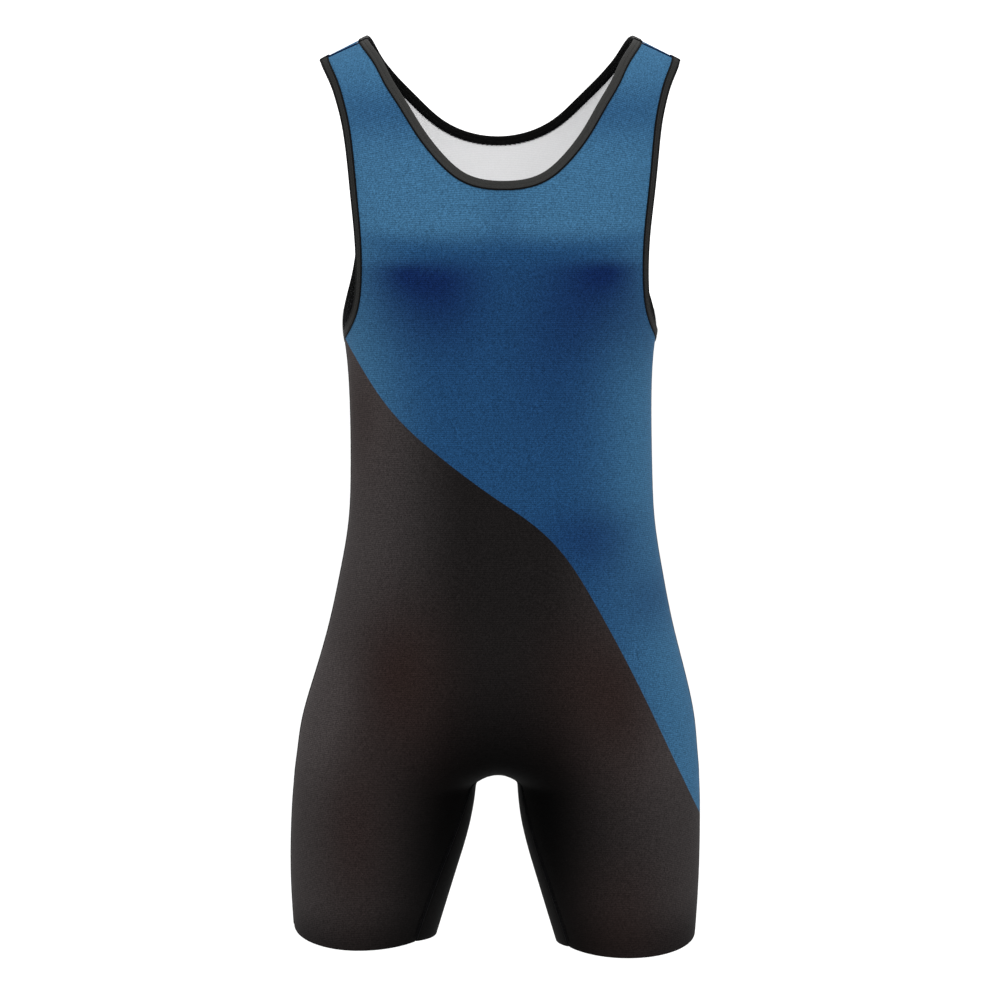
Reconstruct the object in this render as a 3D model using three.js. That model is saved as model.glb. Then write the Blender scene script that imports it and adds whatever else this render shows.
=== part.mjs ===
// Wrestling singlet of printed stretch knit, filled out as it is when worn.
// Millimetres. Z is up, the front faces -Y and the wearer's left is +X.
// The origin lies midway between the two straps, where they sit on the shoulders.
import * as THREE from 'three';

// Cloth and seams
const WALL = 1.5;
const SEAM_GAP = 0.3;
const BINDING_WIDTH = 7.4;
const BINDING_CLOTH = 1.0;
const BINDING_CLEAR = 0.3;
const BINDING_TIP_WIDTH = 9;

// Shoulders: the strap's neck end is the highest point, and the line slopes out from there
const STRAP_TOP = 5;
const STRAP_NECK_X = 126;
const SHOULDER_SLOPE = 0.52;
const SLOPE_FADE = 110;
const CENTRE_ROUND = 40;
const SHOULDER_ROUND_DROP = 150;
const SHOULDER_ROUND_POWER = 3;
const KNEE_RUN = 0.8;

// Legs: the hem's drop below the strap top at the inseam and at the side seam, and its dip in front
const CROTCH_DROP = 699;
const CROTCH_SIDE_DROP = 641;
const CROTCH_ROUND = 20;
const HEM_DIP = 6.5;
const INSEAM_FORWARD_POWER = 0.3;
const LEGS = [
  { hand: -1, hemInner: 849, hemOuter: 844, inseamForward: THREE.MathUtils.degToRad(46) },
  { hand: 1, hemInner: 858, hemOuter: 852, inseamForward: THREE.MathUtils.degToRad(33) },
];

// Sections of the filled-out form, by drop below the strap top. side is the half width,
// inner is where the leg or lobe begins (below zero where the two sides merge),
// front and back are depths from the side seam, round is the section's fullness, and sway
// moves it towards the wearer's left.
const SECTIONS = [
  { drop: 0, side: 198, inner: -198, front: 100, back: 96, round: 2.0, sway: 0 },
  { drop: 56, side: 190.5, inner: -166, front: 103, back: 103, round: 2.05, sway: 0 },
  { drop: 116, side: 179.5, inner: -115, front: 109, back: 110, round: 2.2, sway: 0.5 },
  { drop: 176, side: 167.5, inner: -70, front: 114, back: 112, round: 2.3, sway: 0 },
  { drop: 236, side: 156.5, inner: -60, front: 112, back: 108, round: 2.35, sway: 0 },
  { drop: 281, side: 147, inner: -68, front: 104, back: 103, round: 2.35, sway: 0 },
  { drop: 336, side: 142.6, inner: -83, front: 100, back: 95, round: 2.3, sway: 0.6 },
  { drop: 406, side: 142.6, inner: -87, front: 98, back: 87, round: 2.3, sway: 1.5 },
  { drop: 456, side: 145, inner: -86, front: 98, back: 90, round: 2.25, sway: 1.7 },
  { drop: 506, side: 153.1, inner: -80, front: 98.5, back: 101, round: 2.25, sway: 1.4 },
  { drop: 556, side: 163.6, inner: -70, front: 98, back: 114, round: 2.2, sway: 0.9 },
  { drop: 606, side: 177.2, inner: -53, front: 97, back: 122, round: 2.15, sway: 0 },
  { drop: 651, side: 187.8, inner: -30, front: 96, back: 120, round: 2.1, sway: -1.7 },
  { drop: 678, side: 190.9, inner: -10, front: 95.5, back: 115, round: 2.1, sway: -2.4 },
  { drop: 699, side: 193, inner: 20, front: 95, back: 109, round: 2.1, sway: -2.9 },
  { drop: 703, side: 193.2, inner: 25, front: 94.7, back: 107.8, round: 2.1, sway: -3 },
  { drop: 712, side: 193.8, inner: 28.2, front: 94, back: 105, round: 2.1, sway: -3.2 },
  { drop: 741, side: 195, inner: 31, front: 92, back: 97, round: 2.1, sway: -3.9 },
  { drop: 796, side: 195, inner: 43.5, front: 87, back: 88, round: 2.1, sway: -4.7 },
  { drop: 876, side: 190, inner: 66, front: 78, back: 78, round: 2.1, sway: -4.7 },
];

// Edges of the panels in the front view, as x from the centre and height z.
// The neck edge runs from the centre front over the shoulder to the centre back.
const NECK_EDGE = [
  { on: 'front', x: 0, z: -130.5 },
  { on: 'front', x: 35, z: -123.5 },
  { on: 'front', x: 56, z: -106 },
  { on: 'front', x: 74, z: -83 },
  { on: 'front', x: 89.5, z: -57.5 },
  { on: 'front', x: 102.5, z: -36.5 },
  { on: 'front', x: 112, z: -18 },
  { on: 'seam', x: 125.5, run: 0.26 },
  { on: 'back', x: 122.5, z: 4 },
  { on: 'back', x: 111, z: -15 },
  { on: 'back', x: 95, z: -34 },
  { on: 'back', x: 76, z: -53 },
  { on: 'back', x: 54, z: -72.5 },
  { on: 'back', x: 0, z: -88.7 },
];
// The armhole edge runs from the side seam up the front, over the shoulder and down the back.
const ARMHOLE_EDGE = [
  { on: 'front', x: 'side', z: -273 },
  { on: 'front', x: 143.5, z: -262 },
  { on: 'front', x: 138, z: -247 },
  { on: 'front', x: 134.5, z: -208 },
  { on: 'front', x: 139, z: -147 },
  { on: 'front', x: 146, z: -85 },
  { on: 'front', x: 156.5, z: -43 },
  { on: 'seam', x: 167.5, run: 0.15 },
  { on: 'back', x: 163, z: -20 },
  { on: 'back', x: 152, z: -50 },
  { on: 'back', x: 143, z: -90 },
  { on: 'back', x: 137, z: -140 },
  { on: 'back', x: 135.5, z: -190 },
  { on: 'back', x: 140.5, z: -223 },
  { on: 'back', x: 147.5, z: -253 },
  { on: 'back', x: 'side', z: -273 },
];

// Grid of each half panel. A power above 1 sets rows closer together at one end.
const COLUMNS = 11;
const LEG_ROWS = 9;
const LEG_ROW_POWER = 1.5;
const HEM_DIP_POWER = 4;
const BODY_ROWS = 14;
const BODY_ROW_POWER = 1.35;
const BODY_SETTLES = 0.35;
const STRAP_ROWS = 16;
const STRAP_ROW_POWER = { front: 1.25, back: 1.5 };
const MIRRORED_ROWS = 3;

// Points closer than a hundredth of a millimetre are one, and slopes are taken over small steps
const KEYS_PER_MM = 100;
const CREST_STEP = 1e-4;
const CHART_STEP = 1e-3;
const DROP_ROUNDS = 40;
const NEAREST_ROUNDS = 6;

const PRINTED_KNIT = { color: '#235a94', roughness: 0.75, metalness: 0 };
const BINDING_KNIT = { color: '#3c3c3a', roughness: 0.85, metalness: 0 };

const QUARTER = Math.PI / 2;
const keyOf = (point) => point.toArray().map((v) => Math.round(v * KEYS_PER_MM)).join();
const lerp = THREE.MathUtils.lerp;
const smooth = THREE.MathUtils.smoothstep;

// Natural cubic spline through values at rising knots
function spline(knots, values) {
  const last = knots.length - 1;
  const bend = new Array(last + 1).fill(0);
  const share = new Array(last + 1).fill(0);
  for (let i = 1; i < last; i++) {
    const before = knots[i] - knots[i - 1];
    const after = knots[i + 1] - knots[i];
    const turn = (values[i + 1] - values[i]) / after - (values[i] - values[i - 1]) / before;
    const pivot = 2 * (before + after) - before * share[i - 1];
    share[i] = after / pivot;
    bend[i] = (6 * turn - before * bend[i - 1]) / pivot;
  }
  for (let i = last - 1; i > 0; i--) bend[i] -= share[i] * bend[i + 1];
  return (at) => {
    let i = 0;
    while (i < last - 1 && at > knots[i + 1]) i++;
    const step = knots[i + 1] - knots[i];
    const b = (at - knots[i]) / step;
    const a = 1 - b;
    const curve = ((a * a * a - a) * bend[i] + (b * b * b - b) * bend[i + 1]) * step * step / 6;
    return a * values[i] + b * values[i + 1] + curve;
  };
}

const drops = SECTIONS.map((row) => row.drop);
const column = (name) => spline(drops, SECTIONS.map((row) => row[name]));
const sideAt = column('side');
const innerAt = column('inner');
const frontAt = column('front');
const backAt = column('back');
const roundAt = column('round');
const swayAt = column('sway');

// A run counts along the cloth from the shoulder's crest, 0, down to the hem:
// positive on the front and negative on the back. Near the crest it is the share of full depth.
const kneeDrop = crestDrop(KNEE_RUN);
const kneeSlope = (crestDrop(KNEE_RUN + CREST_STEP) - crestDrop(KNEE_RUN - CREST_STEP)) / (2 * CREST_STEP);
function crestDrop(run) {
  return SHOULDER_ROUND_DROP * (1 - (1 - run * run) ** (1 / SHOULDER_ROUND_POWER));
}
function dropOf(run) {
  const size = Math.abs(run);
  return size < KNEE_RUN ? crestDrop(size) : kneeDrop + (size - KNEE_RUN) * kneeSlope;
}
function runOf(drop) {
  if (drop >= kneeDrop) return KNEE_RUN + (drop - kneeDrop) / kneeSlope;
  return Math.sqrt(1 - (1 - drop / SHOULDER_ROUND_DROP) ** SHOULDER_ROUND_POWER);
}
function depthShare(run) {
  const size = Math.abs(run);
  if (size < KNEE_RUN) return size;
  const left = Math.max(0, 1 - dropOf(size) / SHOULDER_ROUND_DROP);
  return Math.sqrt(1 - left ** SHOULDER_ROUND_POWER);
}

// Rise of the surface at x over a strap's neck end, rounded across the centre line
function shoulderLift(x, drop) {
  const inward = Math.hypot(STRAP_NECK_X, CENTRE_ROUND) - Math.hypot(x, CENTRE_ROUND);
  return SHOULDER_SLOPE * inward * Math.exp(-((drop / SLOPE_FADE) ** 2));
}

// Drop of the point that lies x from the centre at height z
function dropAt(x, z) {
  let drop = STRAP_TOP - z;
  for (let i = 0; i < DROP_ROUNDS; i++) {
    drop = Math.max(0, (drop + STRAP_TOP - z + shoulderLift(x, drop)) / 2);
  }
  return drop;
}

// Point of the outer surface at x from the centre, on the front or the back
function bodyPoint(hand, run, x, onFront) {
  const drop = dropOf(run);
  const inner = innerAt(drop);
  const outer = Math.hypot(sideAt(drop), CROTCH_ROUND);
  const round = roundAt(drop);
  const across = (2 * Math.hypot(x, CROTCH_ROUND) - outer - inner) / (outer - inner);
  const share = Math.max(0, 1 - Math.abs(across) ** round) ** (1 / round);
  const depth = (onFront ? -frontAt(drop) : backAt(drop)) * share * depthShare(run);
  const z = STRAP_TOP - drop + shoulderLift(x, drop);
  return new THREE.Vector3(hand * x + swayAt(drop), depth, z);
}

// Torso chart: turn is 0 on the centre line and a quarter turn at the side seam
function torsoPoint(hand, run, turn) {
  const onFront = (run > 0) === (turn <= QUARTER);
  return bodyPoint(hand, run, sideAt(dropOf(run)) * Math.sin(turn), onFront);
}

// Leg chart: turn is a quarter turn at the side seam, 0 in front and minus a quarter inside
function innerGap(drop) {
  const inner = innerAt(drop);
  return inner > CROTCH_ROUND ? Math.sqrt(inner * inner - CROTCH_ROUND * CROTCH_ROUND) : 0;
}
function legPoint(hand, run, turn) {
  const drop = dropOf(run);
  const x = lerp(innerGap(drop), sideAt(drop), (1 + Math.sin(turn)) / 2);
  return bodyPoint(hand, run, x, Math.cos(turn) > 0);
}

// Edge curve through a table's points, in the torso chart
function edgeCurve(table, mirrored) {
  const marks = table.map(({ on, x, z, run }) => {
    if (on === 'seam') return { run, turn: Math.asin(x / sideAt(dropOf(run))) };
    const onSide = x === 'side';
    const drop = onSide ? STRAP_TOP - z : dropAt(x, z);
    const turn = onSide ? QUARTER : Math.asin(x / sideAt(drop));
    return { run: on === 'front' ? runOf(drop) : -runOf(drop), turn };
  });
  const seam = table.findIndex((row) => row.on === 'seam');
  const places = marks.map(({ run, turn }) => torsoPoint(1, run, turn));
  const along = [0];
  for (let i = 1; i < places.length; i++) along.push(along[i - 1] + places[i].distanceTo(places[i - 1]));
  const end = along[along.length - 1];
  let knots = along;
  let list = marks;
  if (mirrored) {
    const flip = ({ run, turn }) => ({ run, turn: -turn });
    const first = (rows) => rows.slice(1, MIRRORED_ROWS + 1).reverse();
    const last = (rows) => rows.slice(-MIRRORED_ROWS - 1, -1).reverse();
    knots = [...first(along).map((s) => -s), ...along, ...last(along).map((s) => 2 * end - s)];
    list = [...first(marks).map(flip), ...marks, ...last(marks).map(flip)];
  }
  const run = spline(knots, list.map((mark) => mark.run));
  const turn = spline(knots, list.map((mark) => mark.turn));
  return { seam: along[seam], end, at: (s) => ({ run: run(s), turn: turn(s) }) };
}
const neckEdge = edgeCurve(NECK_EDGE, true);
const armholeEdge = edgeCurve(ARMHOLE_EDGE, false);

// Station k of the strap rows on an edge, from its low end, 0, to the shoulder seam
function edgeMark(edge, panel, k) {
  const share = 1 - (1 - k / STRAP_ROWS) ** STRAP_ROW_POWER[panel];
  const low = panel === 'front' ? 0 : edge.end;
  return edge.at(lerp(low, edge.seam, share));
}

// Directions along the surface at a place in the torso chart, by small steps
function slopes({ run, turn }) {
  const along = torsoPoint(1, run + CHART_STEP, turn).sub(torsoPoint(1, run - CHART_STEP, turn));
  const round = torsoPoint(1, run, turn + CHART_STEP).sub(torsoPoint(1, run, turn - CHART_STEP));
  return { along: along.divideScalar(2 * CHART_STEP), round: round.divideScalar(2 * CHART_STEP) };
}

// Place on the surface nearest to a target, by Gauss-Newton steps from a first mark
function nearestMark(target, first) {
  const mark = { ...first };
  for (let i = 0; i < NEAREST_ROUNDS; i++) {
    const { along, round } = slopes(mark);
    const miss = target.clone().sub(torsoPoint(1, mark.run, mark.turn));
    const [aa, ar, rr] = [along.dot(along), along.dot(round), round.dot(round)];
    const [am, rm] = [along.dot(miss), round.dot(miss)];
    const size = aa * rr - ar * ar;
    mark.run += (am * rr - rm * ar) / size;
    mark.turn += (rm * aa - am * ar) / size;
  }
  return mark;
}

// Direction of an edge at a station, towards the shoulder
function edgeTangent(edge, panel, k) {
  const [before, after] = [Math.max(0, k - 0.5), Math.min(STRAP_ROWS, k + 0.5)].map((station) => {
    const { run, turn } = edgeMark(edge, panel, station);
    return torsoPoint(1, run, turn);
  });
  return after.sub(before).normalize();
}

// Mark one binding width into the cloth from station k of an edge. At the shoulder seam it lies
// along that seam, and at the low end along the centre line or the side seam.
function boundMark(edge, panel, k) {
  const mark = edgeMark(edge, panel, k);
  const other = edgeMark(edge === neckEdge ? armholeEdge : neckEdge, panel, k);
  const mix = (share) => ({
    run: lerp(mark.run, other.run, share),
    turn: lerp(mark.turn, other.turn, share),
  });
  const here = torsoPoint(1, mark.run, mark.turn);
  const alongSeam = 0.2;
  if (k === STRAP_ROWS) {
    const probe = mix(alongSeam);
    const reach = torsoPoint(1, probe.run, probe.turn).distanceTo(here);
    return mix(alongSeam * BINDING_WIDTH / reach);
  }
  const { along, round } = slopes(mark);
  const across = edgeTangent(edge, panel, k).cross(along.clone().cross(round)).normalize();
  const down = along.multiplyScalar(Math.sign(mark.run));
  const inward = mix(alongSeam);
  const into = torsoPoint(1, inward.run, inward.turn).sub(here).normalize();
  into.lerp(down.clone().normalize(), 1 - k / STRAP_ROWS);
  if (across.dot(into) < 0) across.negate();
  if (k === 0) {
    const width = edge === neckEdge ? BINDING_WIDTH : BINDING_TIP_WIDTH;
    return { run: mark.run + Math.sign(mark.run) * width / down.length(), turn: mark.turn };
  }
  return nearestMark(here.addScaledVector(across, BINDING_WIDTH), mark);
}

// Rows of one half panel, as lists of points from its inner edge to its outer one.
// The body rows run from the hem to the first strap row. A strap row has a point on each edge
// and one a binding width in from it, and the first one shares its other points with the body.
function halfRows(panel, leg) {
  const shares = Array.from({ length: COLUMNS + 1 }, (_, c) => c / COLUMNS);
  const strap = [];
  for (let k = 0; k <= STRAP_ROWS; k++) {
    const [neck, arm] = [neckEdge, armholeEdge].map((edge) => boundMark(edge, panel, k));
    const levelling = (1 - k / STRAP_ROWS) ** 2;
    const between = shares.map((share) => ({
      run: lerp(neck.run, arm.run, lerp(share, Math.sin(QUARTER * share), levelling)),
      turn: lerp(neck.turn, arm.turn, share),
    }));
    const marks = [edgeMark(neckEdge, panel, k), ...between, edgeMark(armholeEdge, panel, k)];
    strap.push(marks.map(({ run, turn }) => torsoPoint(leg.hand, run, turn)));
  }
  const crotch = runOf(CROTCH_DROP);
  const crotchSide = runOf(CROTCH_SIDE_DROP);
  const finish = panel === 'front' ? QUARTER : -3 * QUARTER;
  const body = [];
  for (let k = 0; k <= LEG_ROWS; k++) {
    const up = k / LEG_ROWS;
    const down = 1 - up;
    const inner = lerp(runOf(leg.hemInner), crotch, 1 - down ** LEG_ROW_POWER);
    const outer = lerp(runOf(leg.hemOuter), crotchSide, up);
    const spread = (dropOf(inner) - CROTCH_DROP) / (leg.hemInner - CROTCH_DROP);
    const start = -QUARTER + leg.inseamForward * Math.max(0, spread) ** INSEAM_FORWARD_POWER;
    const dip = HEM_DIP / kneeSlope * down ** HEM_DIP_POWER;
    body.push(shares.map((share) => {
      const run = lerp(inner, outer, smooth(share, 0, 1)) + dip * Math.sin(Math.PI * share);
      return legPoint(leg.hand, run, lerp(start, finish, share));
    }));
  }
  const [neckTop, armTop] = [neckEdge, armholeEdge].map((edge) => Math.abs(boundMark(edge, panel, 0).run));
  for (let k = 1; k < BODY_ROWS; k++) {
    const up = k / BODY_ROWS;
    const inner = lerp(crotch, neckTop, up ** BODY_ROW_POWER);
    const outer = lerp(crotchSide, armTop, up);
    const settled = smooth(up, 0, BODY_SETTLES);
    body.push(shares.map((share) => {
      const levelled = lerp(share, Math.sin(QUARTER * share), up * up);
      const run = lerp(inner, outer, lerp(smooth(share, 0, 1), levelled, settled));
      const wide = lerp((1 - Math.cos(Math.PI * share)) / 2, Math.sin(QUARTER * share), settled);
      return bodyPoint(leg.hand, run, sideAt(dropOf(run)) * wide, panel === 'front');
    }));
  }
  return { body: [...body, strap[0].slice(1, -1)], strap };
}

// Whether a four-sided patch folds along its first diagonal, a to c, as the shorter one
function foldsFirst(a, b, c, d) {
  return a.distanceTo(c) < b.distanceTo(d);
}

// Both halves of a panel as one welded grid of points and triangles, with each half's strap rows
function panelGrid(panel) {
  const points = [];
  const triangles = [];
  const straps = {};
  const welded = new Map();
  const place = (point) => {
    const key = keyOf(point);
    if (!welded.has(key)) welded.set(key, points.push(point) - 1);
    return welded.get(key);
  };
  for (const leg of LEGS) {
    const { body, strap } = halfRows(panel, leg);
    const turned = (panel === 'front') !== (leg.hand > 0);
    for (const rows of [body, strap]) {
      const grid = rows.map((row) => row.map(place));
      for (let r = 0; r < grid.length - 1; r++) {
        for (let c = 0; c < grid[r].length - 1; c++) {
          const corners = [grid[r][c], grid[r][c + 1], grid[r + 1][c + 1], grid[r + 1][c]];
          const [i, j, k, l] = corners;
          const patch = foldsFirst(...corners.map((index) => points[index]))
            ? [[i, j, k], [i, k, l]] : [[i, j, l], [j, k, l]];
          triangles.push(...(turned ? patch.map(([p, q, t]) => [p, t, q]) : patch));
        }
      }
      if (rows === strap) straps[leg.hand] = grid.map((row) => row.map((index) => points[index]));
    }
  }
  return { points, triangles, straps };
}

// Smooth normals of all panels together, so that they agree across every seam
function sharedNormals(grids) {
  const sums = new Map();
  for (const { points, triangles } of grids) {
    for (const corners of triangles) {
      const [a, b, c] = corners.map((index) => points[index]);
      const face = b.clone().sub(a).cross(c.clone().sub(a));
      for (const point of [a, b, c]) {
        const key = keyOf(point);
        if (!sums.has(key)) sums.set(key, new THREE.Vector3());
        sums.get(key).add(face);
      }
    }
  }
  return (point) => sums.get(keyOf(point)).clone().normalize();
}

// Closed body from points and triangles, turned so that its faces point out
function solid(name, points, triangles, finish) {
  let volume = 0;
  for (const [a, b, c] of triangles) volume += points[a].dot(points[b].clone().cross(points[c]));
  const indices = triangles.flatMap(([a, b, c]) => (volume > 0 ? [a, b, c] : [a, c, b]));
  const geometry = new THREE.BufferGeometry();
  geometry.setAttribute('position', new THREE.Float32BufferAttribute(points.flatMap((p) => p.toArray()), 3));
  geometry.setIndex(indices);
  geometry.computeVertexNormals();
  const mesh = new THREE.Mesh(geometry, new THREE.MeshStandardMaterial(finish));
  mesh.name = name;
  return mesh;
}

// Open edges of a grid, each from one point to the next with the cloth on its left
function openEdges(triangles) {
  const edges = new Map();
  for (const [a, b, c] of triangles) {
    for (const [from, to] of [[a, b], [b, c], [c, a]]) edges.set(`${from},${to}`, [from, to]);
  }
  return [...edges.values()].filter(([from, to]) => !edges.has(`${to},${from}`));
}

// Cloth wall: the outer grid, the same grid moved in by the wall, and a strip round every open edge.
// Points on a seam are drawn back from it by half the seam's gap.
function clothWall(name, { points, triangles }, neighbour, normalAt, finish) {
  const count = points.length;
  const shared = new Set(neighbour.points.map(keyOf));
  const onSeam = points.map((point) => shared.has(keyOf(point)));
  const drawBack = points.map(() => new THREE.Vector3());
  const edges = openEdges(triangles);
  for (const [from, to] of edges) {
    if (!onSeam[from] || !onSeam[to]) continue;
    const along = points[to].clone().sub(points[from]);
    for (const index of [from, to]) drawBack[index].add(normalAt(points[index]).cross(along).normalize());
  }
  const layer = (depth) => points.map((point, index) => point.clone()
    .addScaledVector(normalAt(point), -depth)
    .addScaledVector(drawBack[index].normalize(), SEAM_GAP / 2));
  const faces = [...triangles, ...triangles.map(([a, b, c]) => [a + count, c + count, b + count])];
  for (const [from, to] of edges) {
    if (points[from].z < points[to].z) faces.push([from, from + count, to + count], [from, to + count, to]);
    else faces.push([from, from + count, to], [from + count, to + count, to]);
  }
  return solid(name, [...layer(0), ...layer(WALL)], faces, finish);
}

// Section of a binding folded over an edge: in is the distance into the cloth from the edge,
// and out is the height above its outer face.
const FOLD = BINDING_CLEAR + BINDING_CLOTH;
const BINDING_SECTION = [
  { in: BINDING_WIDTH, out: FOLD },
  { in: 0, out: FOLD },
  { in: -FOLD, out: BINDING_CLEAR },
  { in: -FOLD, out: -WALL - BINDING_CLEAR },
  { in: 0, out: -WALL - FOLD },
  { in: BINDING_WIDTH, out: -WALL - FOLD },
  { in: BINDING_WIDTH, out: -WALL - BINDING_CLEAR },
  { in: -BINDING_CLEAR, out: -WALL - BINDING_CLEAR },
  { in: -BINDING_CLEAR, out: BINDING_CLEAR },
  { in: BINDING_WIDTH, out: BINDING_CLEAR },
];

// Binding along stations of an edge. Each has a point on the edge, a far point one binding width
// into the cloth, the direction across the edge and the way that a seam draws both back.
function binding(name, stations, normalAt) {
  const points = [];
  const rings = stations.map(({ edge, far, across, back }) => BINDING_SECTION.map((at) => {
    const onFar = at.in === BINDING_WIDTH;
    const point = onFar ? far.clone() : edge.clone().addScaledVector(across, at.in);
    return points.push(point.addScaledVector(normalAt(onFar ? far : edge), at.out).add(back)) - 1;
  }));
  const triangles = [];
  for (let i = 0; i < rings.length - 1; i++) {
    const [here, ahead] = [stations[i], stations[i + 1]];
    const fromFar = foldsFirst(here.far, here.edge, ahead.edge, ahead.far);
    rings[i].forEach((a, k) => {
      const next = (k + 1) % BINDING_SECTION.length;
      const [b, c, d] = [rings[i][next], rings[i + 1][next], rings[i + 1][k]];
      const firstIsFar = BINDING_SECTION[k].in === BINDING_WIDTH;
      triangles.push(...(fromFar === firstIsFar ? [[a, b, c], [a, c, d]] : [[a, b, d], [b, c, d]]));
    });
  }
  const outline = BINDING_SECTION.map((at) => new THREE.Vector2(at.in, at.out));
  const [start, end] = [rings[0], rings[rings.length - 1]];
  for (const [a, b, c] of THREE.ShapeUtils.triangulateShape(outline, [])) {
    triangles.push([start[a], start[c], start[b]], [end[a], end[b], end[c]]);
  }
  return solid(name, points, triangles, BINDING_KNIT);
}

// Stations of one half panel's neck or armhole edge, from its low end to the shoulder seam
function edgeStations(strap, edge, panel, hand, normalAt) {
  return strap.map((row, k) => {
    const [point, far] = edge === neckEdge ? row : [row[row.length - 1], row[row.length - 2]];
    const tangent = edgeTangent(edge, panel, k);
    tangent.x *= hand;
    let across = far.clone().sub(point).normalize();
    const atCentre = edge === neckEdge && k === 0;
    const back = new THREE.Vector3();
    if (k > 0 && k < STRAP_ROWS) {
      const side = tangent.clone().cross(normalAt(point)).normalize();
      across = side.dot(across) < 0 ? side.negate() : side;
    } else if (!atCentre) {
      back.copy(tangent).addScaledVector(across, -tangent.dot(across));
      back.setLength(k === 0 ? SEAM_GAP / 2 : -SEAM_GAP / 2);
    }
    return { edge: point, far, across, back };
  });
}

const grids = { front: panelGrid('front'), back: panelGrid('back') };
const normalAt = sharedNormals(Object.values(grids));
const singlet = new THREE.Group();
singlet.add(clothWall('front_panel', grids.front, grids.back, normalAt, PRINTED_KNIT));
singlet.add(clothWall('back_panel', grids.back, grids.front, normalAt, PRINTED_KNIT));
for (const [panel, grid] of Object.entries(grids)) {
  const stations = (edge, hand) => edgeStations(grid.straps[hand], edge, panel, hand, normalAt);
  const neck = [...stations(neckEdge, -1).reverse(), ...stations(neckEdge, 1).slice(1)];
  singlet.add(binding(`${panel}_neck_binding`, neck, normalAt));
  for (const [side, hand] of [['right', -1], ['left', 1]]) {
    const name = `${side}_${panel}_armhole_binding`;
    singlet.add(binding(name, stations(armholeEdge, hand), normalAt));
  }
}
export default singlet;
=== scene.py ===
# Wrestling singlet of printed stretch knit, filled out as worn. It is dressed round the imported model.
# Tables and distances in the shape code are millimetres, and meshes are made in metres.
import math

import bpy
import numpy as np
from bpy.props import FloatProperty, FloatVectorProperty, PointerProperty
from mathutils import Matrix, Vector


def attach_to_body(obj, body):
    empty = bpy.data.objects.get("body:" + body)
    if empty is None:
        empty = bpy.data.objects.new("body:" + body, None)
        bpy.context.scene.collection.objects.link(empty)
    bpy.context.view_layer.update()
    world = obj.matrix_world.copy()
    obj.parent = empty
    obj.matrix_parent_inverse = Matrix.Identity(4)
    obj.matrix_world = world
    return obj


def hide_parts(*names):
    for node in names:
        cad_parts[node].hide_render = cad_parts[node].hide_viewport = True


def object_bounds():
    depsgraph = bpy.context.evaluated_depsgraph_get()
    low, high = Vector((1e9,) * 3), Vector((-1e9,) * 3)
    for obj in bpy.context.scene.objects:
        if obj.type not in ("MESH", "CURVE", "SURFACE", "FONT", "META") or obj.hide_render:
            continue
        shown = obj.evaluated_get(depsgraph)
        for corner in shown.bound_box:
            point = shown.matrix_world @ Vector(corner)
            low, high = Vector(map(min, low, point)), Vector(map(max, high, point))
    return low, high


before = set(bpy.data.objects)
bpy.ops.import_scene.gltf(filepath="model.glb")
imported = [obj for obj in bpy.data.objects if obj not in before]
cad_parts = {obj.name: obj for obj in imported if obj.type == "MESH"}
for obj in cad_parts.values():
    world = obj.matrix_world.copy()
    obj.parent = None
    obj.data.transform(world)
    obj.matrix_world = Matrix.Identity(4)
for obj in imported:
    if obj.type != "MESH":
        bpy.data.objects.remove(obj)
CAD_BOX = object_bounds()

bl_info = {
    "name": "Wrestling singlet",
    "version": (1, 0, 0),
    "blender": (4, 5, 0),
    "location": "View3D > Sidebar > Singlet",
    "description": "Cuts, sews and finishes a wrestling singlet in the form it has when worn",
    "category": "Object",
}

MM = 0.001
QUARTER = math.pi / 2
TINY = 1e-12
HANDS = (("right", -1), ("left", 1))

# Shoulders: the strap's neck end is the highest point, and the line slopes out from there
STRAP_TOP = 5
STRAP_NECK_X = 126
SHOULDER_SLOPE = 0.52
SLOPE_FADE = 110
CENTRE_ROUND = 40
SHOULDER_ROUND_DROP = 150
SHOULDER_ROUND_POWER = 3
KNEE_RUN = 0.8
STRAP_DEPTH = 108

# Legs: the hem's drop below the strap top at the inseam and at the side seam, its dip in front, and how
# far the inseam has turned to the front where it reaches the hem
CROTCH_DROP = 699
CROTCH_SIDE_DROP = 641
CROTCH_ROUND = 20
HEM_DIP = 6.5
HEM_DIP_POWER = 4
INSEAM_FORWARD_POWER = 0.3
LEGS = {
    -1: {"hem_inner": 849, "hem_outer": 844, "inseam_forward": math.radians(46)},
    1: {"hem_inner": 858, "hem_outer": 852, "inseam_forward": math.radians(33)},
}

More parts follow.
